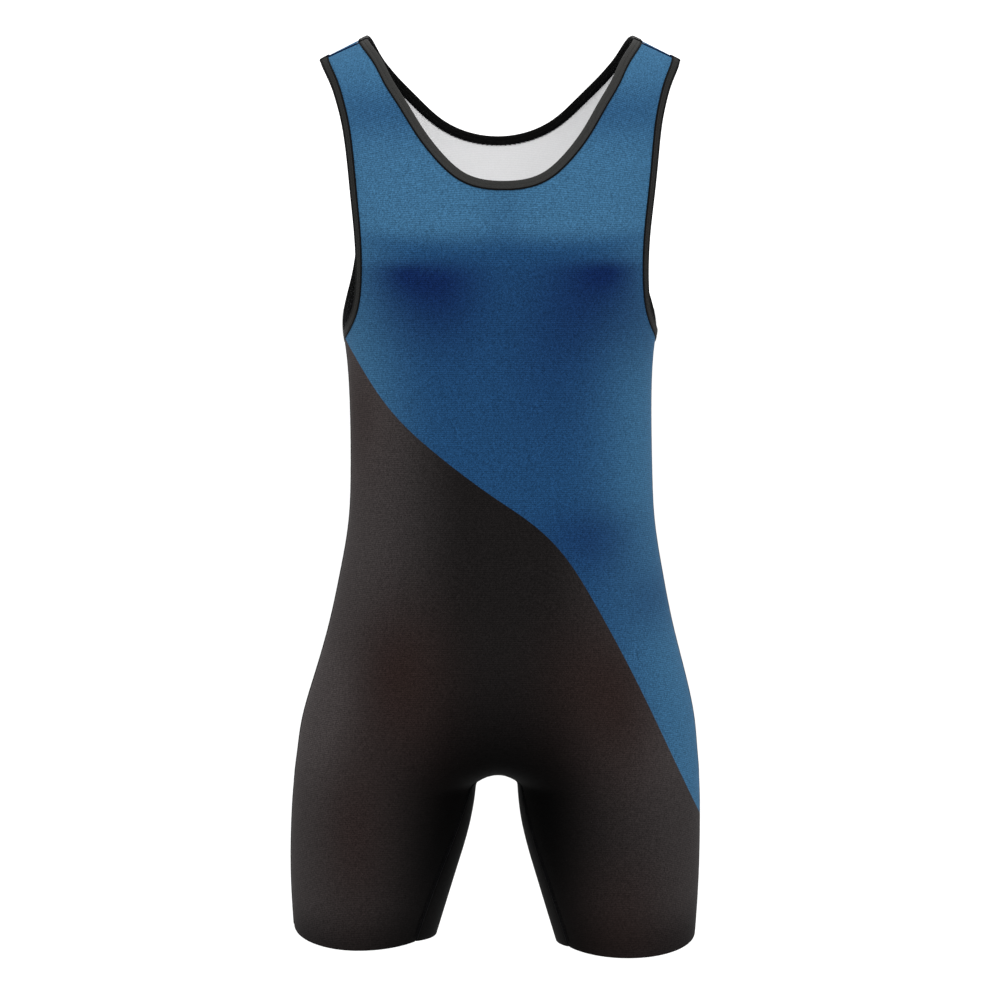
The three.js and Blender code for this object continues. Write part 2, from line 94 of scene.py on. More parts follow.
# Sections of the filled-out form, by drop below the strap top. side is the half width,
# inner is where the leg or lobe begins (below zero where the two sides merge),
# front and back are depths from the side seam, round is the section's fullness, and sway
# moves it towards the wearer's left.
SECTION_COLUMNS = ("drop", "side", "inner", "front", "back", "round", "sway")
SECTIONS = (
    (0, 198, -198, 100, 96, 2.0, 0),
    (56, 190.5, -166, 103, 103, 2.05, 0),
    (116, 179.5, -115, 109, 110, 2.2, 0.5),
    (176, 167.5, -70, 114, 112, 2.3, 0),
    (236, 156.5, -60, 112, 108, 2.35, 0),
    (281, 147, -68, 104, 103, 2.35, 0),
    (336, 142.6, -83, 100, 95, 2.3, 0.6),
    (406, 142.6, -87, 98, 87, 2.3, 1.5),
    (456, 145, -86, 98, 90, 2.25, 1.7),
    (506, 153.1, -80, 98.5, 101, 2.25, 1.4),
    (556, 163.6, -70, 98, 114, 2.2, 0.9),
    (606, 177.2, -53, 97, 122, 2.15, 0),
    (651, 187.8, -30, 96, 120, 2.1, -1.7),
    (678, 190.9, -10, 95.5, 115, 2.1, -2.4),
    (699, 193, 20, 95, 109, 2.1, -2.9),
    (703, 193.2, 25, 94.7, 107.8, 2.1, -3),
    (712, 193.8, 28.2, 94, 105, 2.1, -3.2),
    (741, 195, 31, 92, 97, 2.1, -3.9),
    (796, 195, 43.5, 87, 88, 2.1, -4.7),
    (876, 190, 66, 78, 78, 2.1, -4.7),
)

# Edges of the panels in the front view: the side they are on, x from the centre and height z.
# On the shoulder seam the last number is the run, which counts along the cloth from the crest.
NECK_EDGE = (
    ("front", 0, -130.5),
    ("front", 35, -123.5),
    ("front", 56, -106),
    ("front", 74, -83),
    ("front", 89.5, -57.5),
    ("front", 102.5, -36.5),
    ("front", 112, -18),
    ("seam", 125.5, 0.26),
    ("back", 122.5, 4),
    ("back", 111, -15),
    ("back", 95, -34),
    ("back", 76, -53),
    ("back", 54, -72.5),
    ("back", 0, -88.7),
)
ARMHOLE_EDGE = (
    ("front", "side", -273),
    ("front", 143.5, -262),
    ("front", 138, -247),
    ("front", 134.5, -208),
    ("front", 139, -147),
    ("front", 146, -85),
    ("front", 156.5, -43),
    ("seam", 167.5, 0.15),
    ("back", 163, -20),
    ("back", 152, -50),
    ("back", 143, -90),
    ("back", 137, -140),
    ("back", 135.5, -190),
    ("back", 140.5, -223),
    ("back", 147.5, -253),
    ("back", "side", -273),
)
MIRRORED_ROWS = 3

# The two-colour print's border, from the right underarm down to the left thigh: x and height z
BORDER = (
    (-150, -271),
    (-142, -284),
    (-113, -329),
    (-67, -376),
    (-2, -425),
    (35, -452),
    (62, -482),
    (90, -528),
    (129, -602),
    (168, -684),
    (192, -734),
)

# Soft patches of painted light and shade on the print: x, height z, half width, reach upwards and downwards,
# and strength. Painted shade deepens the blue below the chest and at the hip, a warm painted sheen tints the
# black on the belly and the thighs, and painted light makes the black paler on the outside of the thighs.
PAINTED_SHADE_PATCHES = (
    (-74, -213, 52, 10, 62, 0.78),
    (-92, -211, 26, 8, 22, 0.25),
    (-46, -220, 36, 14, 70, 0.32),
    (80, -213, 50, 11, 74, 0.78),
    (98, -208, 26, 9, 24, 0.32),
    (40, -290, 46, 60, 80, 0.3),
    (84, -458, 48, 26, 40, 0.55),
    (140, -520, 34, 34, 34, 0.4),
    (134, -262, 30, 40, 40, 0.25),
)
# Warm painted sheen on the black.
PAINTED_SHEEN_PATCHES = (
    (-96, -585, 46, 70, 78, 0.85),
    (-140, -735, 34, 90, 90, 0.6),
    (-135, -350, 30, 60, 70, 0.5),
    (90, -590, 52, 60, 64, 0.65),
    (118, -650, 40, 62, 62, 0.45),
    (118, -815, 40, 60, 60, 0.5),
)
# Painted light on the black.
PAINTED_LIGHT_PATCHES = (
    (-175, -615, 36, 40, 70, 0.5),
    (-140, -340, 36, 60, 60, 0.4),
    (140, -655, 44, 60, 50, 0.3),
)
# Painted light makes the knit paler over the upper chest and round the sides. That starts and ends at the
# heights of PAINTED_LIGHT_CHEST and at the shares of the half width of PAINTED_LIGHT_SIDES.
# PAINTED_LIGHT_SIDE_SHARE is its strength on the black, and PAINTED_LIGHT_CENTRE_GAP and
# PAINTED_LIGHT_STRAP_GAP are patches that it leaves out.
PAINTED_LIGHT_CHEST = (-196, -168)
PAINTED_LIGHT_CENTRE_GAP = (0, -215, 20, 75, 75, 0.4)
PAINTED_LIGHT_STRAP_GAP = (0, -66, 400, 26, 26, 0.6)
PAINTED_LIGHT_SIDES = (0.22, 1.0)
PAINTED_LIGHT_SIDE_SHARE = 0.68
# Strength of the patches on the back, and the depths between which they come down to it
BACK_SHARE = 0.4
BACK_FADE = (-30, 30)
# Painted shade that darkens the hems, and painted light that makes the belly greyer: the heights where each
# starts and ends, and its strength
PAINTED_SHADE_HEM = (-800, -850, 0.65)
PAINTED_LIGHT_BELLY = (-700, -560, 0.17)

# Rows of each half panel. A power above 1 sets rows closer together at one end.
MIDDLE_COLUMNS = 38
SEAM_COLUMNS = (0, 0.0025, 0.007, 0.016)
HEM_ROWS = 5
HEM_SHARE = 0.1
LEG_ROWS = 30
LEG_ROW_POWER = 1.5
BODY_ROWS = 76
BODY_ROW_POWER = 1.35
BODY_SETTLES = 0.35
STRAP_ROWS = 64
STRAP_ROW_POWER = {"front": 1.25, "back": 1.5}

# Solving: points that agree to 1 / KEYS_PER_MM are one, slopes are taken over small steps of the run
# and of the chart, and a drop and a nearest point are found in a few rounds
KEYS_PER_MM = 100
CREST_STEP = 1e-4
CHART_STEP = 1e-3
BORDER_STEP = 1.0
DROP_ROUNDS = 40
NEAREST_ROUNDS = 6
CREST_KNOTS = 41

# Knit and print. A wave texture's period is WAVE_UNIT over its scale.
KNIT_MOTTLE = 1.5
KNIT_GRAIN = 1.1
KNIT_COURSE = 1.8
WAVE_UNIT = 2 * math.pi / 20
PRINT_BLEED = 0.25
MOTTLE_SHADES = (0.66, 1.4)
GRAIN_SHADES = (0.8, 1.23)
NOISE_RANGE = (0.3, 0.7)
FIBRE_IOR = 1.5
SHEEN_ROUGHNESS = 0.45
ELASTIC_ROUGHNESS = 0.85
FIBRE_SIZE = 0.3
FIBRE_SHINE = 1.6

# Bindings: the two needle lines as shares of the width, how far a dent reaches to each side of one, the
# rounding of the cut edge as a share of the thickness, the reach of an armhole's fold painted black as shade,
# the inner face's width at an armhole as a share of the outer one's, and the points round the fold
STITCH_LINES = (0.7, 0.34)
DENT_REACH = 0.6
LIP_SHARE = 0.4
FOLD_EDGE = 1.1
ARMHOLE_FLANGE = 1.35
OUTER_FOLD_POINTS = 9
INNER_FOLD_POINTS = 7

# Seams: how far each draws the cloth back, and the height of its dark line, as a share of the width
# and above the cloth
SEAM_DRAW = 0.15
SEAM_HEIGHT_SHARE = 0.6
SHOULDER_SEAM_LIFT = 0.25
BINDING_SEAM_LIFT = 0.1
HEM_FOLD_STEPS = 4

# Thread: a stitch's height and width along it, as shares of the thread's radius, and the corners round
# a stitch, a zigzag and a seam's line
STITCH_LIFTS = (-0.6, 0.5, 0.8, 0.5, -0.6)
STITCH_WIDTHS = (0.5, 1, 1, 1, 0.5)
STITCH_RISE = 0.4
STITCH_SIDES = 6
ZIGZAG_SIDES = 5
SEAM_SIDES = 8

# Coverstitch beside the inseam, and the overlock over a binding's inner edge
COVERSTITCH_INSETS = (3.2, 5.6)
COVERSTITCH_LIFT = 0.05
COVERSTITCH_PITCH = 1.6
COVERSTITCH_FINENESS = 0.7
OVERLOCK_INSET = 1.2
OVERLOCK_REACH = 0.09
OVERLOCK_PITCH = 1.5
OVERLOCK_LIFT = 0.1

# Photographic set-up, in metres and watts. The frame is FRAME_WIDTH wide at the garment. Each light has
# its name, place, target, width and power.
VIEW_AZIMUTH = math.radians(-1.5)
VIEW_ELEVATION = math.radians(5.2)
VIEW_DISTANCE = 3.6
FRAME_WIDTH = 0.95
FRAME_CENTRE = (0.0, 0.0, -0.432)
FLOOR_SIZE = 60
FLOOR_BELOW = 0.6
LIGHTS = (
    ("key_softbox", (-0.9, -2.2, 2.0), (0, 0, -0.3), 1.6, 34),
    ("fill_softbox", (1.3, -2.4, 1.6), (0, 0, -0.3), 1.6, 22),
    ("top_softbox", (0.0, -0.9, 1.7), (0, 0, -0.15), 1.2, 16),
)
ROOM_LIGHT = 0.6
BACKDROP_LIGHT = 1.5
BACKDROP_FADE = (-0.4, 0.5)


def lerp(a, b, share):
    return a + (b - a) * share


def smooth(value, low, high):
    """Smooth step from 0 at low to 1 at high."""
    share = np.clip((value - low) / (high - low), 0, 1)
    return share * share * (3 - 2 * share)


def unit(vectors):
    """Vectors of length 1, along the last axis."""
    return vectors / np.maximum(np.linalg.norm(vectors, axis=-1, keepdims=True), TINY)


def steps_along(grid, axis=0):
    """Distance from the first point of a line, or from the first row or column of a grid of points."""
    lengths = np.linalg.norm(np.diff(grid, axis=axis), axis=-1)
    start = np.zeros_like(np.take(lengths, [0], axis=axis))
    return np.concatenate([start, np.cumsum(lengths, axis=axis)], axis=axis)


def spline(knots, values):
    """Natural cubic spline through values at rising knots, as a function."""
    knots = np.asarray(knots, float)
    values = np.asarray(values, float)
    steps = np.diff(knots)
    count = len(knots)
    system = np.eye(count)
    turns = np.zeros(count)
    for i in range(1, count - 1):
        system[i, i - 1:i + 2] = steps[i - 1], 2 * (steps[i - 1] + steps[i]), steps[i]
        ahead, behind = (values[i + 1] - values[i]) / steps[i], (values[i] - values[i - 1]) / steps[i - 1]
        turns[i] = 6 * (ahead - behind)
    bend = np.linalg.solve(system, turns)

    def curve(at):
        i = np.clip(np.searchsorted(knots, at, side="left") - 1, 0, count - 2)
        step = steps[i]
        b = (at - knots[i]) / step
        a = 1 - b
        cubic = ((a ** 3 - a) * bend[i] + (b ** 3 - b) * bend[i + 1]) * step * step / 6
        return a * values[i] + b * values[i + 1] + cubic

    return curve


SECTION_AT = {
    name: spline([row[0] for row in SECTIONS], [row[i] for row in SECTIONS])
    for i, name in enumerate(SECTION_COLUMNS)
}


def crest_drop(run):
    return SHOULDER_ROUND_DROP * (1 - (1 - run * run) ** (1 / SHOULDER_ROUND_POWER))


KNEE_DROP = crest_drop(KNEE_RUN)
KNEE_SLOPE = (crest_drop(KNEE_RUN + CREST_STEP) - crest_drop(KNEE_RUN - CREST_STEP)) / (2 * CREST_STEP)


def drop_of(run):
    """Drop below the strap top at a run: positive runs are on the front, negative on the back."""
    size = np.abs(run)
    below = KNEE_DROP + (size - KNEE_RUN) * KNEE_SLOPE
    return np.where(size < KNEE_RUN, crest_drop(np.minimum(size, KNEE_RUN)), below)


def run_of(drop):
    if drop >= KNEE_DROP:
        return KNEE_RUN + (drop - KNEE_DROP) / KNEE_SLOPE
    return math.sqrt(1 - (1 - drop / SHOULDER_ROUND_DROP) ** SHOULDER_ROUND_POWER)


def depth_share(run):
    """Share of the full depth at a run. Near the crest it is the run itself."""
    size = np.abs(run)
    left = np.maximum(0, 1 - drop_of(size) / SHOULDER_ROUND_DROP)
    return np.where(size < KNEE_RUN, size, np.sqrt(1 - left ** SHOULDER_ROUND_POWER))


def shoulder_lift(x, drop):
    """Rise of the surface at x over a strap's neck end, rounded across the centre line."""
    inward = math.hypot(STRAP_NECK_X, CENTRE_ROUND) - np.hypot(x, CENTRE_ROUND)
    return SHOULDER_SLOPE * inward * np.exp(-((drop / SLOPE_FADE) ** 2))


def drop_at(x, z):
    """Drop of the point that lies x from the centre at height z."""
    drop = STRAP_TOP - z
    for _ in range(DROP_ROUNDS):
        drop = max(0, (drop + STRAP_TOP - z + shoulder_lift(x, drop)) / 2)
    return float(drop)


def body_point(hand, run, x, on_front):
    """Point of the outer surface at x from the centre, on the front or the back."""
    drop = drop_of(run)
    inner = SECTION_AT["inner"](drop)
    outer = np.hypot(SECTION_AT["side"](drop), CROTCH_ROUND)
    fullness = SECTION_AT["round"](drop)
    across = (2 * np.hypot(x, CROTCH_ROUND) - outer - inner) / (outer - inner)
    share = np.maximum(0, 1 - np.abs(across) ** fullness) ** (1 / fullness)
    depth = np.where(on_front, -SECTION_AT["front"](drop), SECTION_AT["back"](drop))
    y = depth * share * depth_share(run)
    z = STRAP_TOP - drop + shoulder_lift(x, drop)
    across_x = hand * x + SECTION_AT["sway"](drop)
    return np.stack(np.broadcast_arrays(across_x, y, z), axis=-1)


def torso_point(hand, run, turn):
    """Torso chart: turn is 0 on the centre line and a quarter turn at the side seam."""
    on_front = (run > 0) == (turn <= QUARTER)
    return body_point(hand, run, SECTION_AT["side"](drop_of(run)) * np.sin(turn), on_front)


def leg_point(hand, run, turn):
    """Leg chart: turn is a quarter turn at the side seam, 0 in front and minus a quarter inside."""
    drop = drop_of(run)
    inner = SECTION_AT["inner"](drop)
    gap = np.sqrt(np.maximum(0, inner * np.abs(inner) - CROTCH_ROUND ** 2))
    x = lerp(gap, SECTION_AT["side"](drop), (1 + np.sin(turn)) / 2)
    return body_point(hand, run, x, np.cos(turn) > 0)


class EdgeCurve:
    """A neck or armhole edge as a curve of marks, each a run and a turn in the torso chart."""

    def __init__(self, table, mirrored):
        marks = np.array([self.mark(*row) for row in table])
        along = steps_along(torso_point(1, marks[:, 0], marks[:, 1]))
        self.seam = along[[row[0] for row in table].index("seam")]
        self.end = along[-1]
        if mirrored:
            flip = marks * (1, -1)
            first, last = slice(MIRRORED_ROWS, 0, -1), slice(-2, -MIRRORED_ROWS - 2, -1)
            marks = np.concatenate([flip[first], marks, flip[last]])
            along = np.concatenate([-along[first], along, 2 * self.end - along[last]])
        self.run = spline(along, marks[:, 0])
        self.turn = spline(along, marks[:, 1])

    @staticmethod
    def mark(on, x, z):
        if on == "seam":
            return z, math.asin(x / float(SECTION_AT["side"](drop_of(z))))
        drop = STRAP_TOP - z if x == "side" else drop_at(x, z)
        turn = QUARTER if x == "side" else math.asin(x / float(SECTION_AT["side"](drop)))
        return (run_of(drop) if on == "front" else -run_of(drop)), turn

    def station(self, panel, k):
        """Mark of station k, from the edge's low end, 0, to the shoulder seam."""
        share = 1 - (1 - k / STRAP_ROWS) ** STRAP_ROW_POWER[panel]
        at = lerp(0 if panel == "front" else self.end, self.seam, share)
        return np.array([self.run(at), self.turn(at)])

    def tangent(self, panel, k):
        """Direction of the edge at station k, towards the shoulder."""
        before, after = self.station(panel, max(0, k - 0.5)), self.station(panel, min(STRAP_ROWS, k + 0.5))
        return unit(torso_point(1, *after) - torso_point(1, *before))


NECK = EdgeCurve(NECK_EDGE, True)
ARMHOLE = EdgeCurve(ARMHOLE_EDGE, False)


def slopes(run, turn):
    """Directions along the surface at a mark, by small steps."""
    along = torso_point(1, run + CHART_STEP, turn) - torso_point(1, run - CHART_STEP, turn)
    round_it = torso_point(1, run, turn + CHART_STEP) - torso_point(1, run, turn - CHART_STEP)
    return along / (2 * CHART_STEP), round_it / (2 * CHART_STEP)


def nearest_mark(target, mark):
    """Mark of the surface point nearest to a target, by Gauss-Newton steps from a first mark."""
    mark = np.array(mark)
    for _ in range(NEAREST_ROUNDS):
        system = np.stack(slopes(*mark), axis=1)
        mark += np.linalg.solve(system.T @ system, system.T @ (target - torso_point(1, *mark)))
    return mark


def bound_mark(edge, panel, k, width, tip_width):
    """Mark one binding width into the cloth from station k of an edge. At the shoulder seam it lies
    along that seam, and at the low end along the centre line or the side seam."""
    mark = edge.station(panel, k)
    other = (ARMHOLE if edge is NECK else NECK).station(panel, k)
    here = torso_point(1, *mark)
    along_seam = 0.2
    probe = lerp(mark, other, along_seam)
    ahead = torso_point(1, *probe) - here
    if k == STRAP_ROWS:
        return lerp(mark, other, along_seam * width / np.linalg.norm(ahead))
    along, round_it = slopes(*mark)
    down = along * np.sign(mark[0])
    if k == 0:
        drop = (width if edge is NECK else tip_width) / np.linalg.norm(down)
        return mark + (np.sign(mark[0]) * drop, 0)
    across = unit(np.cross(edge.tangent(panel, k), np.cross(along, round_it)))
    into = lerp(unit(ahead), unit(down), 1 - k / STRAP_ROWS)
    if across @ into < 0:
        across = -across
    return nearest_mark(here + across * width, mark)


def column_shares():
    """Places of the columns from 0 to 1, close together next to the seams at both ends."""
    ends = np.array(SEAM_COLUMNS)
    middle = np.linspace(ends[-1], 1 - ends[-1], MIDDLE_COLUMNS + 1)
    return np.concatenate([ends[:-1], middle, 1 - ends[-2::-1]])


def half_rows(panel, hand, width, tip_width):
    """Rows of one half panel, from its inner edge to its outer one: the body's from the hem to the
    first strap row, and the strap's from there to the shoulder, which have a point more at each end."""
    shares = column_shares()
    strap, strap_runs = [], []
    for k in range(STRAP_ROWS + 1):
        neck, arm = (bound_mark(edge, panel, k, width, tip_width) for edge in (NECK, ARMHOLE))
        levelled = lerp(shares, np.sin(QUARTER * shares), (1 - k / STRAP_ROWS) ** 2)
        neck_edge, arm_edge = NECK.station(panel, k), ARMHOLE.station(panel, k)
        run = np.concatenate([[neck_edge[0]], lerp(neck[0], arm[0], levelled), [arm_edge[0]]])
        turn = np.concatenate([[neck_edge[1]], lerp(neck[1], arm[1], shares), [arm_edge[1]]])
        strap.append(torso_point(hand, run, turn))
        strap_runs.append(run)
    leg = LEGS[hand]
    crotch, crotch_side = run_of(CROTCH_DROP), run_of(CROTCH_SIDE_DROP)
    finish = QUARTER if panel == "front" else -3 * QUARTER
    body, body_runs = [], []
    ups = [*np.linspace(0, HEM_SHARE, HEM_ROWS, endpoint=False), *np.linspace(HEM_SHARE, 1, LEG_ROWS + 1)]
    for up in ups:
        down = 1 - up
        inner = lerp(run_of(leg["hem_inner"]), crotch, 1 - down ** LEG_ROW_POWER)
        outer = lerp(run_of(leg["hem_outer"]), crotch_side, up)
        spread = max(0, (float(drop_of(inner)) - CROTCH_DROP) / (leg["hem_inner"] - CROTCH_DROP))
        start = -QUARTER + leg["inseam_forward"] * spread ** INSEAM_FORWARD_POWER
        dip = HEM_DIP / KNEE_SLOPE * down ** HEM_DIP_POWER
        run = lerp(inner, outer, smooth(shares, 0, 1)) + dip * np.sin(math.pi * shares)
        body.append(leg_point(hand, run, lerp(start, finish, shares)))
        body_runs.append(run)
    neck_top, arm_top = (
        abs(bound_mark(edge, panel, 0, width, tip_width)[0]) for edge in (NECK, ARMHOLE)
    )
    for up in np.arange(1, BODY_ROWS) / BODY_ROWS:
        inner = lerp(crotch, neck_top, up ** BODY_ROW_POWER)
        outer = lerp(crotch_side, arm_top, up)
        settled = smooth(up, 0, BODY_SETTLES)
        levelled = lerp(shares, np.sin(QUARTER * shares), up * up)
        run = lerp(inner, outer, lerp(smooth(shares, 0, 1), levelled, settled))
        wide = lerp((1 - np.cos(math.pi * shares)) / 2, np.sin(QUARTER * shares), settled)
        body.append(body_point(hand, run, SECTION_AT["side"](drop_of(run)) * wide, panel == "front"))
        body_runs.append(run)
    body.append(strap[0][1:-1])
    body_runs.append(strap_runs[0][1:-1])
    return {
        "body": np.array(body), "body_runs": np.array(body_runs), "leg_rows": len(ups) - 1,
        "strap": np.array(strap), "strap_runs": np.array(strap_runs),
    }


def patch_faces(index):
    """Four-sided faces of a grid of point numbers."""
    corners = index[:-1, :-1], index[:-1, 1:], index[1:, 1:], index[1:, :-1]
    return np.stack(corners, axis=-1).reshape(-1, 4)


def cloth_run(run):
    """Length of cloth from the shoulder's crest to a run, negative on the back."""
    knots = np.linspace(0, KNEE_RUN, CREST_KNOTS)
    arcs = np.hypot(np.diff(crest_drop(knots)), np.diff(knots) * STRAP_DEPTH)
    lengths = np.concatenate([[0], np.cumsum(arcs)])
    size = np.abs(run)
    near = np.interp(size, knots, lengths)
    return np.sign(run) * (near + np.maximum(0, size - KNEE_RUN) * KNEE_SLOPE)


border_height = spline([x for x, _ in BORDER], [z for _, z in BORDER])


def print_side(points):
    """Distance from the print's border in millimetres: above it the knit is blue, and below it black."""
    x, z = points[:, 0], points[:, 2]
    slope = (border_height(x + BORDER_STEP) - border_height(x - BORDER_STEP)) / (2 * BORDER_STEP)
    return (z - border_height(x)) / np.hypot(1, slope)


def patches(points, table):
    """Sum of soft round patches at points, from 0 to 1."""
    total = np.zeros(len(points))
    for x, z, half_width, reach_up, reach_down, strength in table:
        above = points[:, 2] - z
        reach = np.where(above > 0, reach_up, reach_down)
        total += strength * np.exp(-(((points[:, 0] - x) / half_width) ** 2 + (above / reach) ** 2))
    return np.clip(total, 0, 1)


def falling(points, band):
    """Share that rises from 0 to 1 on the way down a band of heights."""
    return 1 - smooth(points[:, 2], band[1], band[0])


def print_and_painted_light(points):
    """Fields of the print at points: the distance from its border, and the painted light, painted shade and
    warm painted sheen that make its blue and its black paler, deeper or warmer."""
    drop = np.clip(STRAP_TOP - points[:, 2], 0, SECTIONS[-1][0])
    outward = np.abs(points[:, 0] - SECTION_AT["sway"](drop)) / SECTION_AT["side"](drop)
    # Painted light round the sides, over the upper chest and on the belly, and painted shade at the hems.
    sides = smooth(outward, *PAINTED_LIGHT_SIDES)
    chest = smooth(points[:, 2], *PAINTED_LIGHT_CHEST) * (1 - patches(points, (PAINTED_LIGHT_CENTRE_GAP, PAINTED_LIGHT_STRAP_GAP)))
    belly = PAINTED_LIGHT_BELLY[2] * smooth(points[:, 2], *PAINTED_LIGHT_BELLY[:2])
    front = 1 - (1 - BACK_SHARE) * smooth(points[:, 1], *BACK_FADE)
    pale = PAINTED_LIGHT_SIDE_SHARE * sides + belly + patches(points, PAINTED_LIGHT_PATCHES) * front
    return {
        "print_side": print_side(points),
        "blue_painted_light": np.maximum(chest, sides ** 2),
        "blue_painted_shade": patches(points, PAINTED_SHADE_PATCHES) * front,
        "black_painted_light": np.clip(pale, 0, 1) * (1 - PAINTED_SHADE_HEM[2] * falling(points, PAINTED_SHADE_HEM)),
        "black_painted_sheen": patches(points, PAINTED_SHEEN_PATCHES) * front,
    }


class Panel:
    """Outer surface of the front or back panel: both halves welded into one net of four-sided faces.

    Each point has its place, its place in the cut cloth (u, v), its distance from the nearest seam,
    the way that the seam draws it back, and whether it lies on the turned-up hem."""

    def __init__(self, side, sizes):
        width, tip_width = sizes.binding_width / MM, sizes.binding_tip_width / MM
        nets, count = [], 0
        for hand in LEGS:
            rows = half_rows(side, hand, width, tip_width)
            for part in ("body", "strap"):
                nets.append((hand, part, rows, count))
                count += rows[part].shape[0] * rows[part].shape[1]
        parts = [self.half_fields(hand, part, rows) for hand, part, rows, _ in nets]
        fields = {name: np.concatenate([fields[name] for fields in parts]) for name in parts[0]}
        keys = np.round(fields["place"] * KEYS_PER_MM).astype(np.int64)
        _, first, weld = np.unique(keys, axis=0, return_index=True, return_inverse=True)
        weld = weld.ravel()
        self.side = side
        self.points = fields["place"][first]
        self.cut = fields["cut"][first]
        self.from_seam = np.full(len(first), np.inf)
        np.minimum.at(self.from_seam, weld, fields["from_seam"])
        self.draw = np.zeros_like(self.points)
        np.add.at(self.draw, weld, fields["draw"])
        self.draw = unit(self.draw) * (np.linalg.norm(self.draw, axis=1) > 0)[:, None]
        self.hem = np.zeros(len(first))
        np.maximum.at(self.hem, weld, fields["hem"])
        faces, self.net = [], {}
        for hand, part, rows, start in nets:
            index = weld[start + np.arange(rows[part].shape[0] * rows[part].shape[1])]
            index = index.reshape(rows[part].shape[:2])
            quads = patch_faces(index)
            faces.append(quads[:, ::-1] if (side == "front") != (hand > 0) else quads)
            self.net[hand, part] = index
        self.faces = np.concatenate(faces)
        self.leg_rows = nets[0][2]["leg_rows"]

    @staticmethod
    def half_fields(hand, part, rows):
        grid, runs = rows[part], rows[part + "_runs"]
        across = steps_along(grid, 1)
        start = np.abs(grid[:, :1, 0]) if part == "strap" else 0
        cut = np.stack([hand * (start + across), -np.abs(cloth_run(runs))], axis=-1)
        draw = np.zeros_like(grid)
        hem = np.zeros(grid.shape[:2])
        if part == "body":
            leg, crotch = slice(0, rows["leg_rows"]), rows["leg_rows"]
            from_seam = across[:, -1:] - across
            from_seam[leg] = np.minimum(from_seam[leg], across[leg])
            draw[:, -1] = unit(grid[:, -2] - grid[:, -1])
            draw[leg, 0] = unit(grid[leg, 1] - grid[leg, 0])
            draw[crotch, 0] = unit(grid[crotch + 1, 0] - grid[crotch, 0])
            hem[:HEM_ROWS + 1] = 1
            hem[0] = 2
        else:
            up = steps_along(grid, 0)
            from_seam = up[-1:] - up
            draw[-1] = unit(grid[-2] - grid[-1])
        fields = {"place": grid, "cut": cut, "from_seam": from_seam, "draw": draw, "hem": hem}
        return {name: value.reshape(-1, *value.shape[2:]) for name, value in fields.items()}

    def open_edges(self):
        """Open edges of the net, each with the cloth on its left."""
        edges = np.concatenate([self.faces[:, [i, (i + 1) % 4]] for i in range(4)])
        count = len(self.points)
        forward, backward = edges[:, 0] * count + edges[:, 1], edges[:, 1] * count + edges[:, 0]
        return edges[~np.isin(forward, backward)]


def share_normals(panels):
    """Gives every panel smooth normals that agree across the seams."""
    keys = np.concatenate([np.round(panel.points * KEYS_PER_MM).astype(np.int64) for panel in panels])
    _, weld = np.unique(keys, axis=0, return_inverse=True)
    weld = weld.ravel()
    sums = np.zeros((weld.max() + 1, 3))
    start = 0
    for panel in panels:
        a, b, c, d = (panel.points[panel.faces[:, i]] for i in range(4))
        normal = np.cross(c - a, d - b)
        for i in range(4):
            np.add.at(sums, weld[start + panel.faces[:, i]], normal)
        start += len(panel.points)
    normals = unit(sums)[weld]
    start = 0
    for panel in panels:
        panel.normals = normals[start:start + len(panel.points)]
        start += len(panel.points)


PANELS = {}


def panels(sizes):
    """The two panels' outer surfaces, worked out once from the sizes."""
    if not PANELS:
        PANELS.update({side: Panel(side, sizes) for side in ("front", "back")})
        share_normals(list(PANELS.values()))
    return PANELS


def mesh_piece(name, points, faces, finishes, face_finish=None, smooth_angle=50):
    """Object at the origin with its place in its mesh, from points in millimetres."""
    mesh = bpy.data.meshes.new(name)
    mesh.from_pydata((np.asarray(points) * MM).tolist(), [], [list(map(int, face)) for face in faces])
    for finish in finishes:
        mesh.materials.append(finish)
    if face_finish is not None:
        mesh.polygons.foreach_set("material_index", np.asarray(face_finish, dtype=np.int32))
    mesh.validate()
    mesh.update()
    piece = bpy.data.objects.new(name, mesh)
    bpy.context.scene.collection.objects.link(piece)
    bpy.ops.object.select_all(action="DESELECT")
    piece.select_set(True)
    bpy.context.view_layer.objects.active = piece
    bpy.ops.object.shade_smooth_by_angle(angle=math.radians(smooth_angle))
    piece.select_set(False)
    return piece


def add_fields(piece, cut, fields):
    """Gives a piece its UV map, in metres of cut cloth, and the fields of its print and of its painted light
    and shade.
    """
    mesh = piece.data
    corners = np.empty(len(mesh.loops), dtype=np.int32)
    mesh.loops.foreach_get("vertex_index", corners)
    uv = mesh.uv_layers.new(name="Cut")
    uv.data.foreach_set("uv", (cut[corners] * MM).ravel())
    for name, values in fields.items():
        field = mesh.attributes.new(name, "FLOAT", "POINT")
        field.data.foreach_set("value", values.astype(np.float32))


